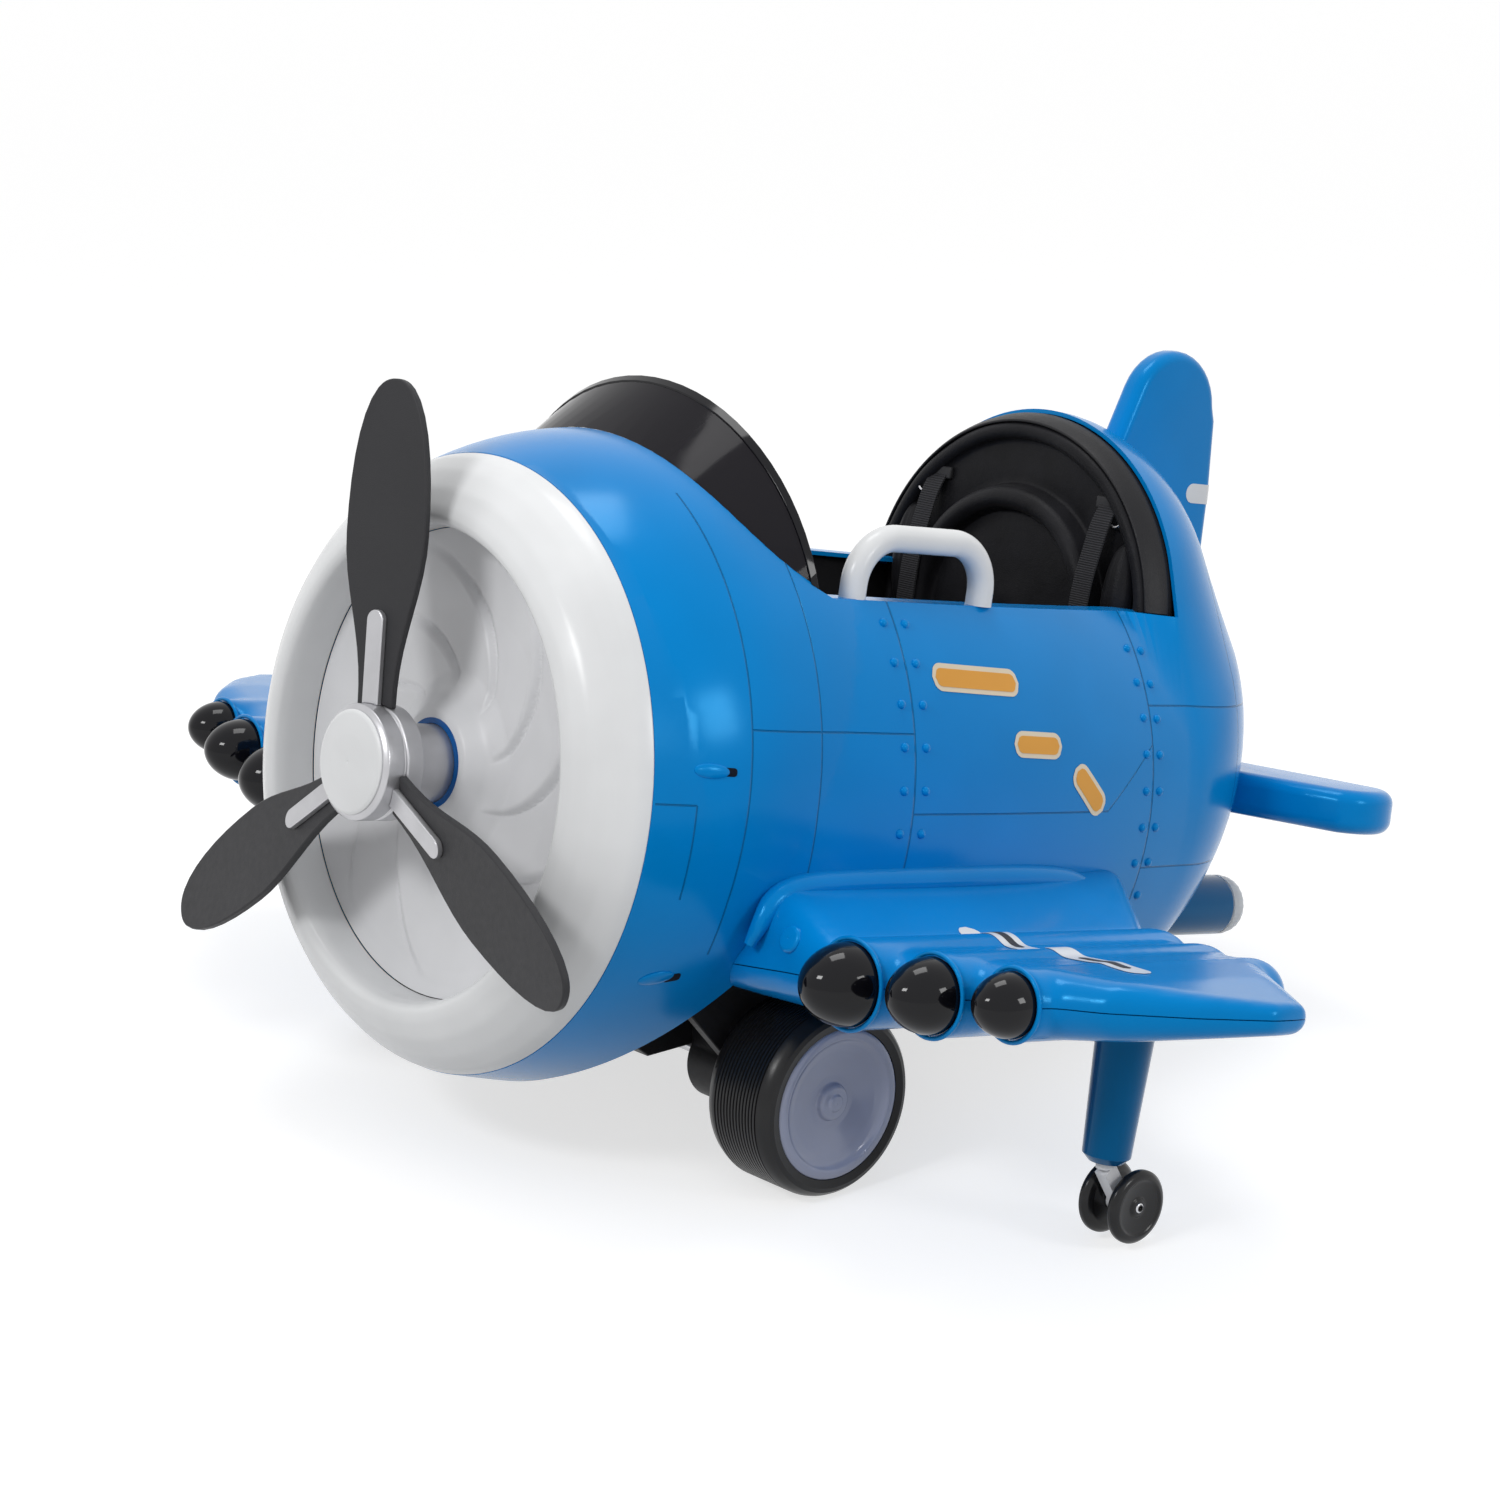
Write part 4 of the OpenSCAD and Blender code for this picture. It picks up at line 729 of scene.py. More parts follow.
def tail_skin(inset, lead=0.0, last=1.0):
    """Rings of the tail, bridged and closed at both ends."""
    bm = bmesh.new()
    edges = None
    for i, s in enumerate(tail_stations()):
        if s > arch_s:
            s = arch_s + (s - arch_s) * last
        verts = bmesh.ops.create_circle(bm, segments=tail_sides, radius=1)["verts"]
        for k, vert in enumerate(verts):
            vert.co = tail_point(s, 2 * math.pi * k / tail_sides, inset)
            if i == 0:
                vert.co.y -= lead
        edges = ring_joined(bm, verts, edges)
    bmesh.ops.edgeloop_fill(bm, edges=edges)
    return bm


def add_tail():
    shell = new_object("tail_outer", tail_skin(0))
    cut(shell, tail_skin(wall, 3, 0.985))
    cut(shell, cockpit_prism())
    cut(shell, belly_prism())
    for side in (-1, 1):
        cut(shell, rod(exhaust_r + 0.4, 260, shift(side * exhaust_x, 760, exhaust_h) @ AFT))
    soften(add_piece("shell_blue_tail", released(shell), "blue_plastic", "tail_shell",
                     place=None, smooth=30), 1.2, 2, 50)


def surface_x(s, h):
    """How far out the port side of the shell is."""
    if s <= barrel_len:
        square = barrel_at(s) ** 2 - h * h
        if s < 200:
            square = max(square, deck_at(s) ** 2 - (h - deck_rise) ** 2)
        return math.sqrt(max(square, 0))
    return math.sqrt(max(tail_low_r(s) ** 2 - (h - tail_low_h(s)) ** 2, 0))


def on_shell(bm, lift):
    """Wraps a flat shape in s and h (as x and z) onto the side of the shell."""
    for vert in bm.verts:
        s, h = vert.co.x, vert.co.z
        vert.co = (surface_x(s, h) + lift + vert.co.y, s, h)
    return bm


def add_rivets():
    """Domed rivets in pairs of rows beside the two ring seams, both sides."""
    places = [(s, barrel_at(s) * math.sin(math.radians(36.8 - 7.4 * k)))
              for s in (263, 289, 599, 620) for k in range(7 if s < 400 else 9)]

    def domes():
        shapes = []
        for s, h in places:
            x = surface_x(s, h)
            out = Vector((x, 0, h)).normalized().to_track_quat("Z", "Y").to_matrix().to_4x4()
            shapes.append((ball(20, 10), shift(x, s, h) @ out @ Matrix.Diagonal((4.3, 4.3, 3.4, 1))))
        return joined(*shapes)
    add_piece("shell_rivets", both_sides(domes), "plain_blue", smooth=70)


def add_vents():
    """Two slots in the side, each behind a small raised scoop; each slot is a thin dark sheet on the shell,
    painted shade for its opening.
    """
    spots = ((62, 49, 0), (60, -133, -12))

    # Thin sheets on the shell, painted shade where the slots open
    def slot_shade_shapes():
        shapes = []
        for s, h, tilt in spots:
            bm = slab(rounded([(-5, -3.6), (10, -3.6), (10, 3.6), (-5, 3.6)], 3.4, 4), 0.9, 0.3, 2)
            shapes.append(on_shell(placed(bm, shift(s + 4, 0, h) @ turn(tilt, "Y")), 0.05))
        return joined(*shapes)

    def scoops():
        shapes = []
        for s, h, tilt in spots:
            place = shift(s - 9, 0, h) @ turn(tilt, "Y") @ Matrix.Diagonal((16, 2.6, 6.2, 1))
            shapes.append(on_shell(placed(ball(32, 20), place), 0))
        return joined(*shapes)
    add_piece("vent_slot_shade", both_sides(slot_shade_shapes), "painted_slot_shade")
    add_piece("vent_scoops", both_sides(scoops), "plain_blue", smooth=70)


def add_rim():
    """The flat rim along the cockpit, on both sides."""
    def one():
        outer, inner = [], []
        for k in range(33):
            s = 200 + (arch_s - 200) * k / 32
            r = barrel_at(s) if s < barrel_len else tail_low_r(s)
            x = math.sqrt(max(r * r - rim_h * rim_h, 0))
            outer.append((x - 1.5, s, rim_h - 4))
            inner.append((x - 25, s, rim_h - 4))
        return extruded(outer + inner[::-1], (0, 0, 4.2))
    add_piece("cockpit_rim_blue", both_sides(one), "plain_blue")


add_fuselage()
add_tail()
add_rivets()
add_vents()
add_rim()


# Windshield, dashboard and handles
add_soft_copy("windshield", "smoked_sheet_curved", "smoked_sheet", 0.0)
add_soft_copy("windshield_hoop", "hoop_trim", "gloss_black", 0.8)
add_soft_copy("grab_handles", "handles_white", "white_plastic", 0.0)
add_soft_copy("dashboard", "dash_panel", "black_plastic", 1.0)
add_soft_copy("seat_surround", "seat_bezel", "black_plastic", 0.8)
add_soft_copy("charge_socket", "socket_body", "charcoal_plastic", 0.5)


# Seat
def back_profile():
    """From the back's centre out to its rim, over two padded rolls and in again."""
    return ([(0, 0), (back_pad_r, 0)] + arc(180, 19, 8, 0, 180, 12)
            + [(169, 15.5), (160, 16.5), (150, 17), (139, 16.5), (128, 15)]
            + arc(114, 29, 11, 0, 180, 12)
            + [(101, 21), (90, 23), (75, 24.5), (50, 25.5), (25, 26), (0, 26)])


def add_seat_back():
    bm = turned(rounded(back_profile(), 3, 2), 160)
    placed(bm, shift(s=pad_face_s, h=arch_h) @ turn(90, "X"))
    for vert in bm.verts:
        x, s, h = vert.co
        if pad_face_s - s > 6:
            puff = 1.3 * math.sin(x * 0.045 + 1.1) * math.sin(h * 0.052) - 0.9
            vert.co.y -= puff * 0.8
    back = new_object("seat_back_form", bm)
    outline = new_object("upper_part", block((-210, 600, 190.3), (210, 700, 420)))
    cut(outline, block((-172, 600, 20), (172, 700, 190.4)), "UNION")
    cut(back, outline, "INTERSECT")
    back = add_piece("seat_back_padded", released(back), "seat_leather", "seat_back_pad",
                     place=None, smooth=50)


def add_cushion():
    """The seat cushion, swelled by cloth from a slightly smaller block."""
    half, reach, limit = cushion_w / 2, 40, 0.009
    obj = new_object("cushion_form", block((6 - half, seat_front, seat_h + 1.5),
                                           (half - 6, seat_rear, seat_h + 30), 13, 4))
    fused(obj, 0.005)
    before = [v.co.copy() for v in obj.data.vertices]
    cloth = obj.modifiers.new("cloth", "CLOTH")
    cloth.settings.use_pressure = True
    cloth.settings.uniform_pressure_force = 4
    cloth.settings.effector_weights.gravity = 0
    cloth.settings.quality = 6
    cloth.point_cache.frame_start, cloth.point_cache.frame_end = 1, 20
    for number in range(1, 21):
        bpy.context.scene.frame_set(number)
    bake(obj)
    bpy.context.scene.frame_set(1)
    back = BODY.inverted()
    for vert, old in zip(obj.data.vertices, before):
        move = vert.co - old
        if move.length > limit:
            move *= limit / move.length
        place = back @ (old + move)
        edge = min(1.0, max(0.0, (half - abs(place.x)) / reach), max(0.0, (seat_rear - place.y) / reach),
                   max(0.0, (place.y - seat_front) / reach))
        if place.z > seat_h + 14:
            crown = 8 * edge ** 0.6
            for seam in (515, 570):
                crown -= 5.5 * math.exp(-((place.y - seam) / 4.5) ** 2) * edge ** 0.3
            place.z = min(place.z + crown - 4, seat_h + 43)
        place.z = max(place.z, seat_h + 0.5)
        place.x = max(1.5 - half, min(half - 1.5, place.x))
        place.y = max(seat_front - 4, min(seat_rear + 6, place.y))
        vert.co = BODY @ place
    cushion = add_piece("seat_cushion_sewn", released(obj, merge=0), "seat_leather", "seat_cushion",
                        place=None, smooth=60)
    smooth = cushion.modifiers.new("fuller", "SUBSURF")
    smooth.levels = smooth.render_levels = 1


def add_bolsters():
    """Upright side pads with a seam down the middle, flat on the back pad."""
    def one():
        bm = ball(48, 32)
        for vert in bm.verts:
            x, y, z = vert.co
            swell = 1 - 0.08 * math.exp(-(x / 0.12) ** 2)
            vert.co = (146 + 17 * x, 650.2 + min(y, 0.0) * 17 * swell, 196 + 54 * z * (1 - 0.06 * x * x))
        bmesh.ops.remove_doubles(bm, verts=bm.verts, dist=0.01)
        return bm
    pads = add_piece("bolsters_padded", both_sides(one), "seat_leather", "seat_side_pads", smooth=60)


def ribbon(path, x0, x1, thickness):
    """A flat strap along a path in s and h."""
    bm = bmesh.new()
    across = 6
    bmesh.ops.create_grid(bm, x_segments=across, y_segments=len(path) - 1, size=1)
    for i, vert in enumerate(bm.verts):
        row, k = divmod(i, across + 1)
        vert.co = (x0 + (x1 - x0) * k / across, *path[row])
    bm.normal_update()
    return thickened(bm, thickness)


def strap_path():
    corners = [(650.0, 285), (640, 266), (628.6, 214), (626.4, 190), (626.2, 100), (626.2, 18)]
    return rounded(corners, 30, 8, closed=False)


def add_harness():
    half = strap_w / 2 - 0.4

    def shoulder():
        return ribbon(strap_path(), strap_x - half, strap_x + half, 2.0)

    def ribs():
        shapes = []
        points = strap_path()
        length = 0.0
        for (s0, h0), (s1, h1) in zip(points, points[1:]):
            step = math.hypot(s1 - s0, h1 - h0)
            while length < step:
                u = length / step
                s, h = s0 + (s1 - s0) * u, h0 + (h1 - h0) * u
                if h < 250:
                    shapes.append(block((strap_x - half + 1, s - 2.1, h - 0.8),
                                        (strap_x + half - 1, s - 0.6, h + 0.8), 0.5, 1))
                length += 4.5
            length -= step
        return joined(*shapes)

    def slot_frame():
        return block((strap_x - 17, 646.5, 279), (strap_x + 17, 651.5, 291), 1.6, 3)
    lap = block((-strap_x - half, 604, lap_h + 0.1), (strap_x + half, 627, lap_h + 2.2), 0.6, 2)
    add_piece("harness_webbing", joined(both_sides(shoulder), both_sides(ribs), lap), "webbing",
              "harness_straps")
    add_piece("strap_slot_frames", both_sides(slot_frame), "charcoal_plastic")
    rings = [(turned(arc(8, 0, 1.4, 0, 337.5, 15), 48),
              shift(side * (strap_x + 15), 644.5, 272) @ turn(80, "X")) for side in (1, -1)]
    add_piece("strap_rings", joined(*rings), "steel")
    for node, name, finish, body in (("harness_buckle", "buckle_soft", "black_plastic", "airframe"),
                                     ("buckle_button", "buckle_press", "red_button", "buckle_body"),
                                     ("start_button", "start_press_soft", "red_button", "start_body"),
                                     ("horn_button", "horn_press_soft", "yellow_button", "horn_body")):
        add_soft_copy(node, name, finish, 0.9, body, 3, 35)


add_seat_back()
add_cushion()
add_bolsters()
add_harness()


# Tail surfaces
def add_fin():
    outline = [(905, 120), (735, 205), (728, 250), *arc(838, 376, 61, 160, 10, 15),
               (904, 372), (912, 300), (917, 190)]
    fin = new_object("fin_form", slab(outline, 29, 11, 7),
                     BODY @ turn(90, "Z") @ Matrix.Scale(-1, 4, (0, 1, 0)))
    cut(fin, tail_skin(let_in))
    bar = new_object("flash_bar", block((-30, 882, 286), (30, 960, 306)))
    cut(bar, rod(10, 60, shift(0, 882, 296) @ PORT, 64), "UNION")
    band = bpy.data.objects.new("band_form", fin.data.copy())
    bpy.context.scene.collection.objects.link(band)
    swell = band.modifiers.new("swell", "DISPLACE")
    swell.strength, swell.mid_level = 0.0006, 0
    bake(band)
    cut(band, bar, "INTERSECT")
    add_piece("fin_rounded", released(fin), "plain_blue", "vertical_fin", place=None)
    add_piece("fin_band", released(band), "white_plastic", "fin_flash", place=None)


def add_stabilisers():
    outline = [(30, 790), (150, 794), (258, 812), *arc(288, 862, 44, -60, 80, 14, 48),
               (242, 908), (30, 892)]
    flat = shift(h=11) @ turn(-2.5, "Y") @ turn(-90, "X")
    form = new_object("stabiliser_form", slab(outline, 42.5, 13, 7), BODY @ flat)
    cut(form, tail_skin(let_in))
    bm = released(form)
    add_piece("stabilisers_rounded", joined(bm.copy(), (bm, MIRROR)), "plain_blue", "stabilisers",
              place=None)

    # Dark marks on the stabilisers: painted shade for their slots
    def slot_shade_marks():
        shapes = []
        for x, s in ((226, 842), (252, 856), (276, 868)):
            mark = extruded([(x, -0.5, z) for x, z in
                             rounded([(-10, -2.6), (10, -2.6), (10, 2.6), (-10, 2.6)], 2.5, 3)], (0, 1, 0))
            shapes.append((mark, shift(x, s, 32.2 + (x - 226) * 0.044) @ turn(-2.5, "Y")
                           @ turn(12, "Z") @ turn(90, "X")))
        return joined(*shapes)
    add_piece("stabiliser_slot_shade", both_sides(slot_shade_marks), "painted_slot_shade")


def add_exhausts():
    r = exhaust_r
    tube = rounded([(r, 680), (r, 864), (28.5, 866), (26, 866), (26, 820), (24, 680)], 1, 3)
    lamp = rounded([(0, 850), (25.7, 850), (25.7, 866), (r, 866.3), (r, 874), (28, 882), (22, 887),
                    (10, 888), (0, 888)], 1.5, 3)

    def lens():
        """The end cap, ribbed round its rim."""
        bm = turned(lamp, 96)
        for vert in bm.verts:
            if math.hypot(vert.co.x, vert.co.y) > 26.5 and vert.co.z > 867:
                angle = math.atan2(vert.co.y, vert.co.x)
                pinch = 1 - 0.018 * (0.5 + 0.5 * math.cos(angle * 24))
                vert.co.x *= pinch
                vert.co.y *= pinch
        return bm
    sides = [shift(side * exhaust_x, 0, exhaust_h) @ AFT for side in (1, -1)]
    # The tubes take the darker blue of painted shade
    add_piece("exhaust_tubes_blue", joined(*[(turned(tube, 96), place) for place in sides]),
              "shade_dark_blue", "exhaust_tubes")
    add_piece("exhaust_caps_ribbed", joined(*[(lens(), place) for place in sides]),
              "lamp_clear", "exhaust_lamps", smooth=50)


add_fin()
add_stabilisers()
add_exhausts()


# Wings
def hull_of(slices, round_ends=()):
    """A skin drawn round upright slices (x, front, rear, thickness) and circles (x, s, h, radius)."""
    bm = bmesh.new()
    for x, s0, s1, t in slices:
        r = t / 2
        for s, h in arc(s0 + r, wing_mid(x), r, 90, 270, 18) + arc(s1 - r, wing_mid(x), r, -90, 90, 18):
            bm.verts.new((x, s, h))
    for x, s, h, r in round_ends:
        for point in arc(s, h, r, 0, 345, 23):
            bm.verts.new((x, *point))
    out = bmesh.ops.convex_hull(bm, input=bm.verts)
    bmesh.ops.delete(bm, geom=only_verts(out["geom_interior"]), context="VERTS")
    return bm


def nacelle_body(x, s0, s1, r):
    front = rounded([(0, 0), (r, 0), (r, s1 - s0 - r)], 2, 3, closed=False)
    bm = turned(front + arc(0, s1 - s0 - r, r, 10, 90, 8), 64, closed=False)
    return bm, shift(x, s0, wing_mid(x)) @ AFT


def wing_forms():
    """Panel, root block and nacelles of the port wing, as overlapping shapes."""
    panel = hull_of([(228, 121, 574, wing_t - 13), (415, 114, 496, wing_t), (501, 122, 456, wing_t),
                     (571, 137, 430, wing_t), (640, 160, 366, wing_t - 10), (690, 208, 318, wing_t - 24),
                     (half_span - 1, 262, 300, wing_t - 34)])
    root = hull_of([(376, 110, 512, wing_t + 6)],
                   [(x, s, h, 20) for x in (240, 270) for s in (150, 560) for h in (-60, -124)])
    return joined(panel, root, *[nacelle_body(*n) for n in nacelles])


def add_wing(side, name):
    wing = new_object("wing_form", wing_forms())
    fused(wing, 0.0032)
    soft = wing.modifiers.new("soften", "SMOOTH")
    soft.factor, soft.iterations = 0.5, 30
    bake(wing)
    cut(wing, turned_solid(barrel_at, 0, barrel_len, -play, 160))
    cut(wing, tail_skin(-play))
    for x, s0, s1, r in nacelles:
        cut(wing, rod(r - wall, 24, shift(x, s0 + 4, wing_mid(x)) @ AFT))
    for part, keep in (("upper", 1), ("lower", -1)):
        bm = bmesh.new()
        bm.from_mesh(wing.data)
        placed(bm, BODY.inverted())
        normal = Vector((-dihedral, 0, 1)).normalized() * keep
        out = bmesh.ops.bisect_plane(bm, geom=list(bm.verts) + list(bm.edges) + list(bm.faces),
                                     plane_co=Vector((0, 0, wing_h0)) + normal * half_seam,
                                     plane_no=normal, clear_inner=True)
        rim = [e for e in out["geom_cut"] if isinstance(e, bmesh.types.BMEdge)]
        fold = bmesh.ops.extrude_edge_only(bm, edges=rim)
        bmesh.ops.scale(bm, verts=only_verts(fold["geom"]), vec=(0.97, 0.95, 1),
                        space=Matrix.Translation((-420, -300, 0)))
        if side < 0:
            bmesh.ops.scale(bm, verts=bm.verts, vec=(-1, 1, 1))
            bmesh.ops.reverse_faces(bm, faces=bm.faces)
        add_piece(f"wing_{part}_{name}_skin", placed(bm, BODY), "plain_blue", f"wing_{part}_{name}",
                  place=None, smooth=38)
    drop(wing)


def on_nacelles(profile, back=0.0):
    """The shape turned from each nacelle's own profile, at the front of all six."""
    return joined(*[(turned(profile(r), 96), shift(x * side, s0 + back, wing_mid(x)) @ turn(90, "X"))
                    for side in (1, -1) for x, s0, s1, r in nacelles])


def add_cones():
    def cone(r):
        tip = [((r - 3.2) * math.cos(math.radians(a)) ** 1.1, r * 1.24 * math.sin(math.radians(a)))
               for a in range(0, 91, 5)]
        return [(0, -8), (r - 5, -8), (r - 5, 0.4)] + tip

    def rim(r):
        return arc(r - 0.6, 0, 1.9, 0, 337.5, 15)
    add_piece("cones_gloss", on_nacelles(cone), "gloss_black", "nacelle_cones", smooth=50)
    add_piece("nacelle_rims", on_nacelles(rim, 0.5), "plain_blue", smooth=60)


def swept(path, sides=24):
    """A round bead along a path of (x, s, h, radius), closed at both ends."""
    bm = bmesh.new()
    edges = None
    for i, (x, s, h, r) in enumerate(path):
        a, b = path[max(i - 1, 0)], path[min(i + 1, len(path) - 1)]
        along = Vector((b[0] - a[0], b[1] - a[1], b[2] - a[2])).normalized()
        place = shift(x, s, h) @ along.to_track_quat("Z", "X").to_matrix().to_4x4()
        verts = bmesh.ops.create_circle(bm, segments=sides, radius=r, matrix=place)["verts"]
        edges = ring_joined(bm, verts, edges)
    bmesh.ops.edgeloop_fill(bm, edges=edges)
    return bm


def smooth_path(points, steps=8):
    """The points joined by a curve that passes through each of them."""
    out = []
    for i in range(len(points) - 1):
        a, b = points[max(i - 1, 0)], points[i]
        c, d = points[i + 1], points[min(i + 2, len(points) - 1)]
        for k in range(steps):
            u = k / steps
            out.append(tuple(0.5 * (2 * q + (r - p) * u + (2 * p - 5 * q + 4 * r - t) * u * u
                                    + (3 * q - p - 3 * r + t) * u ** 3)
                             for p, q, r, t in zip(a, b, c, d)))
    return out + [points[-1]]


def add_root_lips():
    """The raised rounded lip of each wing root along the barrel, and a small boss in front."""
    def one():
        lip = swept(smooth_path([(283, 114, -96, 5), (288, 119, -76, 8), (287, 133, -57, 10.5),
                                 (285, 165, -47, 12), (284, 230, -44, 12.5), (283, 330, -43, 12.5),
                                 (280, 430, -43, 12), (277, 490, -46, 10.5), (278, 522, -55, 8),
                                 (279, 545, -70, 4)]))
        boss = turned(rounded([(0, -6), (11.5, -6), (11.5, 1.2), (9.5, 2.6), (0, 3.2)], 1, 3), 64)
        return joined(lip, (boss, shift(327, 118, -81) @ turn(-18, "X") @ turn(90, "X")))
    add_piece("root_lips", both_sides(one), "plain_blue", smooth=60)


add_wing(1, "port")
add_wing(-1, "starboard")
add_cones()
add_root_lips()


# Legs, casters and drive wheels
def add_legs():
    # The legs take the darker blue of painted shade
    add_soft_copy("wing_legs", "legs_blue", "shade_dark_blue", 2.0, segments=4, angle=30)
    for part in ("port", "starboard", "tail"):
        add_soft_copy(f"fork_{part}", f"fork_{part}_soft", "grey_plastic", 1.0, f"caster_{part}",
                      smooth=35)
        add_rollers(part)


def add_rollers(part):
    """Two discs on a pin, with a screw head outside each."""
    g, w, r = caster_gap / 2 + 0.3, caster_gap / 2 + 0.3 + caster_w, caster_r
    place = Matrix.Translation(Vector(joint(f"rollers_{part}_spin")["pos_m"])) @ Matrix.Scale(0.001, 4)
    disc = rounded([(3, g), (r - 8, g), (r - 3, g + 2), (r, g + 5), (r, w - 4), (r - 3, w - 1.2),
                    (r - 7, w), (r - 9, w - 1.5), (9, w - 3.5), (7, w - 1.5), (3, w - 1.2)], 1.2, 3)
    screw = rounded([(0, w - 2.2), (4.6, w - 2.2), (4.2, w - 0.6), (2.6, w), (0, w)], 0.6, 3)
    pin = turned([(0, -w), (3, -w), (3, w), (0, w)], 48)

    def pair(profile, sides):
        return [(turned(profile, sides), PORT), (turned(profile, sides), MIRROR @ PORT)]
    add_piece(f"rollers_{part}_discs", joined(*pair(disc, 96), (pin, PORT)), "caster_black",
              f"caster_wheels_{part}", f"rollers_{part}", place)
    add_piece(f"rollers_{part}_screws", joined(*pair(screw, 48)), "steel", body=f"rollers_{part}",
              place=place)


def tyre_profile():
    """Outer surface with fine grooves round the tread, then the hollow inside."""
    r, w = tyre_r, tyre_w
    points = [(6.1, 0), (22, 0), (22, 24), (63, 24), (63, 6), (r - 10, 0.3), (r - 6, 1.6), (r - 3, 5),
              (r - 1, 10)]
    place = 13.0
    while place < w - 14:
        points += [(r, place), (r, place + 2.1), (r - 1.5, place + 2.7), (r - 1.5, place + 3.3)]
        place += 4
    points += [(r, w - 13), (r - 1, w - 9), (r - 3, w - 5), (r - 6, w - 1.6), (r - 10, w - 0.3),
               (67, w - 2), (67, w - 16), (61, w - 16), (61, 29), (15, 29), (15, w - 24), (6.1, w - 24)]
    return points


def cover_profile():
    w, r = tyre_w, 65
    return rounded([(0, w - 8), (0, w - 12), (18, w - 13), (r - 16, w - 15.7), (r + 1.7, w - 15.7),
                    (r + 1.7, w - 2), (r - 1, w - 0.6), (r - 4, w), (r - 7, w - 0.4), (r - 9, w - 2.6),
                    (r - 12, w - 4.4), (46, w - 6.6), (24, w - 11.2), (17, w - 11.4), (15.5, w - 7),
                    (13, w - 5.6), (8, w - 5.4), (6.5, w - 3.4), (0, w - 3.2)], 1.4, 3)


def add_wheels():
    for side, part in ((1, "port"), (-1, "starboard")):
        place = (LEVEL @ shift(0, axle_y, tyre_r) @ Matrix.Scale(side, 4, (1, 0, 0))
                 @ shift(tyre_in_x) @ PORT)
        add_piece(f"tyre_{part}_grooved", turned(tyre_profile(), 160), "tread", f"tyre_{part}",
                  f"wheel_{part}", place, 30)
        add_piece(f"cover_{part}_dished", turned(cover_profile()), "cover_grey", f"hub_cover_{part}",
                  f"wheel_{part}", place)
    for node, name in (("axle_brackets", "brackets_soft"), ("gearboxes", "gearboxes_soft"),
                       ("chassis", "chassis_soft"), ("belly_pan", "pan_soft")):
        add_soft_copy(node, name, "black_plastic", 1.2, smooth=35)


def add_sticks():
    for node, body in (("stick_port", "stick_port_body"), ("stick_starboard", "stick_starboard_body"),
                       ("stick_bases", "airframe")):
        add_soft_copy(node, f"{node}_soft", "charcoal_plastic", 1.0, body)


add_legs()
add_wheels()
add_sticks()


# Generic markings, in place of printed ones
def pill(length, tall):
    """A flat round-ended bar in x and z on a fine grid."""
    bm = bmesh.new()
    bmesh.ops.create_grid(bm, x_segments=max(12, int(length / 2.5)), y_segments=6, size=1)
    for vert in bm.verts:
        u, v = vert.co.x, vert.co.y
        along = u * length / 2
        past = max(0.0, abs(along) - (length - tall) / 2) / (tall / 2)
        z = v * tall / 2 * math.sqrt(max(1 - past * past, 0.0004))
        vert.co = (along, 0, z)
    return bm


def side_bars(grow, lift):
    """Three bars on the port side of the shell, as s, h, length, height and tilt."""
    shapes = []
    for s, h, length, tall, tilt in ((362, 130, 104, 15, 2), (436, 76, 58, 15, 2), (510, 36, 50, 17, 42)):
        bm = placed(pill(length + grow, tall + grow), shift(s, 0, h) @ turn(tilt, "Y"))
        shapes.append(thickened(on_shell(bm, lift), print_t))
    return joined(*shapes)


def wing_bars(side, name, width, lift, parts):
    """Slanted bars laid on the wing's upper skin, each from one share of the line to another."""
    skin = bpy.data.objects[f"wing_upper_{name}_skin"]
    tree = BVHTree.FromObject(skin, bpy.context.evaluated_depsgraph_get())
    down = (BODY.to_3x3() @ Vector((0, 0, -1))).normalized()
    back = BODY.inverted()
    shapes = []
    for first, last in parts:
        middle = (first + last) / 2
        bm = placed(pill((last - first) * 258, width),
                    shift(363 + 249 * middle, 284 - 52 * middle, 0) @ turn(-12, "Z") @ turn(-90, "X"))
        for vert in bm.verts:
            hit = tree.ray_cast(BODY @ Vector((vert.co.x * side, vert.co.y, 60)), down)[0]
            if hit is not None:
                vert.co = back @ hit + Vector((0, 0, lift))
        shapes.append(thickened(bm, print_t))
    return joined(*shapes)


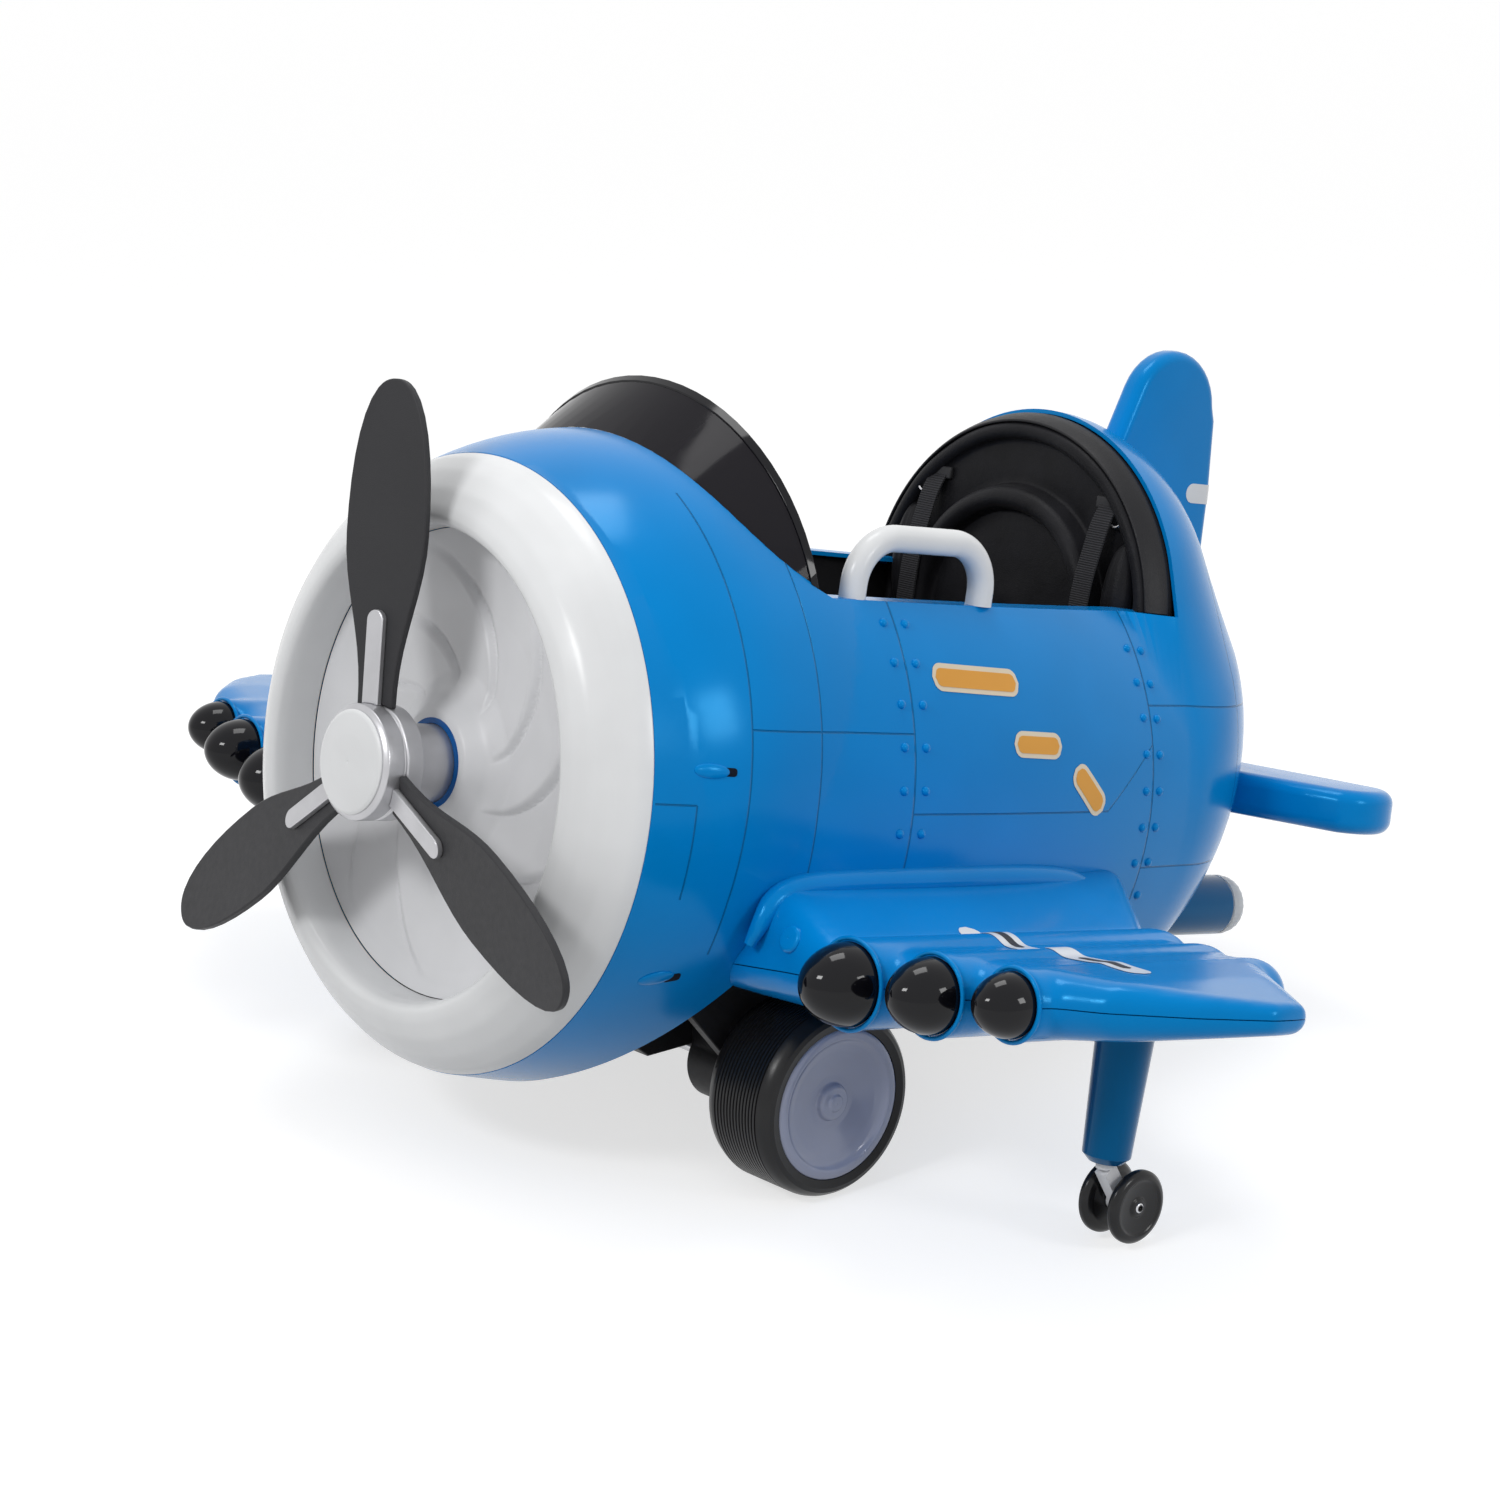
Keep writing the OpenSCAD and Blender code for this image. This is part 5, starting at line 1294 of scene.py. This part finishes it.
def add_markings():
    add_piece("side_bars_cream", both_sides(lambda: side_bars(8, 0.35)), "cream_print", smooth=60)
    add_piece("side_bars_orange", both_sides(lambda: side_bars(0, 0.75)), "orange_print", smooth=60)
    for side, name in ((1, "port"), (-1, "starboard")):
        add_piece(f"wing_bars_pale_{name}", wing_bars(side, name, 24, 0.45, ((0.0, 0.44), (0.5, 1.0))),
                  "white_plastic", smooth=60)
        add_piece(f"wing_bars_dark_{name}", wing_bars(side, name, 8, 0.85, ((0.08, 0.34), (0.66, 0.92))),
                  "charcoal_plastic", smooth=60)


add_markings()


# Floor and light
def seen_directly(tree):
    """1 for what the camera sees, also in gloss and through glass, and 0 for other light."""
    outputs = tree.nodes.new("ShaderNodeLightPath").outputs
    return math_node(tree, "MAXIMUM", outputs["Is Camera Ray"],
                     math_node(tree, "MAXIMUM", outputs["Is Glossy Ray"],
                               outputs["Is Transmission Ray"]))


def add_floor():
    bm = bmesh.new()
    bmesh.ops.create_grid(bm, x_segments=1, y_segments=1, size=40)
    floor = new_object("floor", bm, None)
    material, tree, shader = base_material("floor_pale", (0.5, 0.5, 0.5), 0.9, Specular_IOR_Level=0.1,
                                           Emission_Color=(1, 1, 1, 1))
    tree.links.new(math_node(tree, "MULTIPLY", seen_directly(tree), 0.66),
                   shader.inputs["Emission Strength"])
    floor.data.materials.append(material)


def add_lamp(name, place, target, width, height, power):
    data = bpy.data.lights.new(name, "AREA")
    data.shape, data.size, data.size_y, data.energy = "RECTANGLE", width, height, power
    lamp = bpy.data.objects.new(name, data)
    bpy.context.scene.collection.objects.link(lamp)
    lamp.location = place
    lamp.rotation_euler = (Vector(target) - Vector(place)).to_track_quat("-Z", "Y").to_euler()


def add_light():
    world = bpy.data.worlds.new("studio")
    bpy.context.scene.world = world
    world.use_nodes = True
    tree = world.node_tree
    shade = tree.nodes["Background"]
    shade.inputs["Color"].default_value = (1, 1, 1, 1)
    tree.links.new(between(tree, seen_directly(tree), 0.62, 1.0), shade.inputs["Strength"])
    add_lamp("key", (0.4, -3.2, 2.6), (0, -0.2, 0.35), 1.0, 0.6, 40)
    add_lamp("side", (3.4, 0.6, 1.6), (0, 0, 0.3), 0.8, 0.9, 22)
    add_lamp("top", (-0.4, 0.2, 3.4), (0, 0, 0.3), 1.2, 1.2, 26)
    view = bpy.context.scene.view_settings
    view.view_transform = "Standard"


add_floor()
add_light()
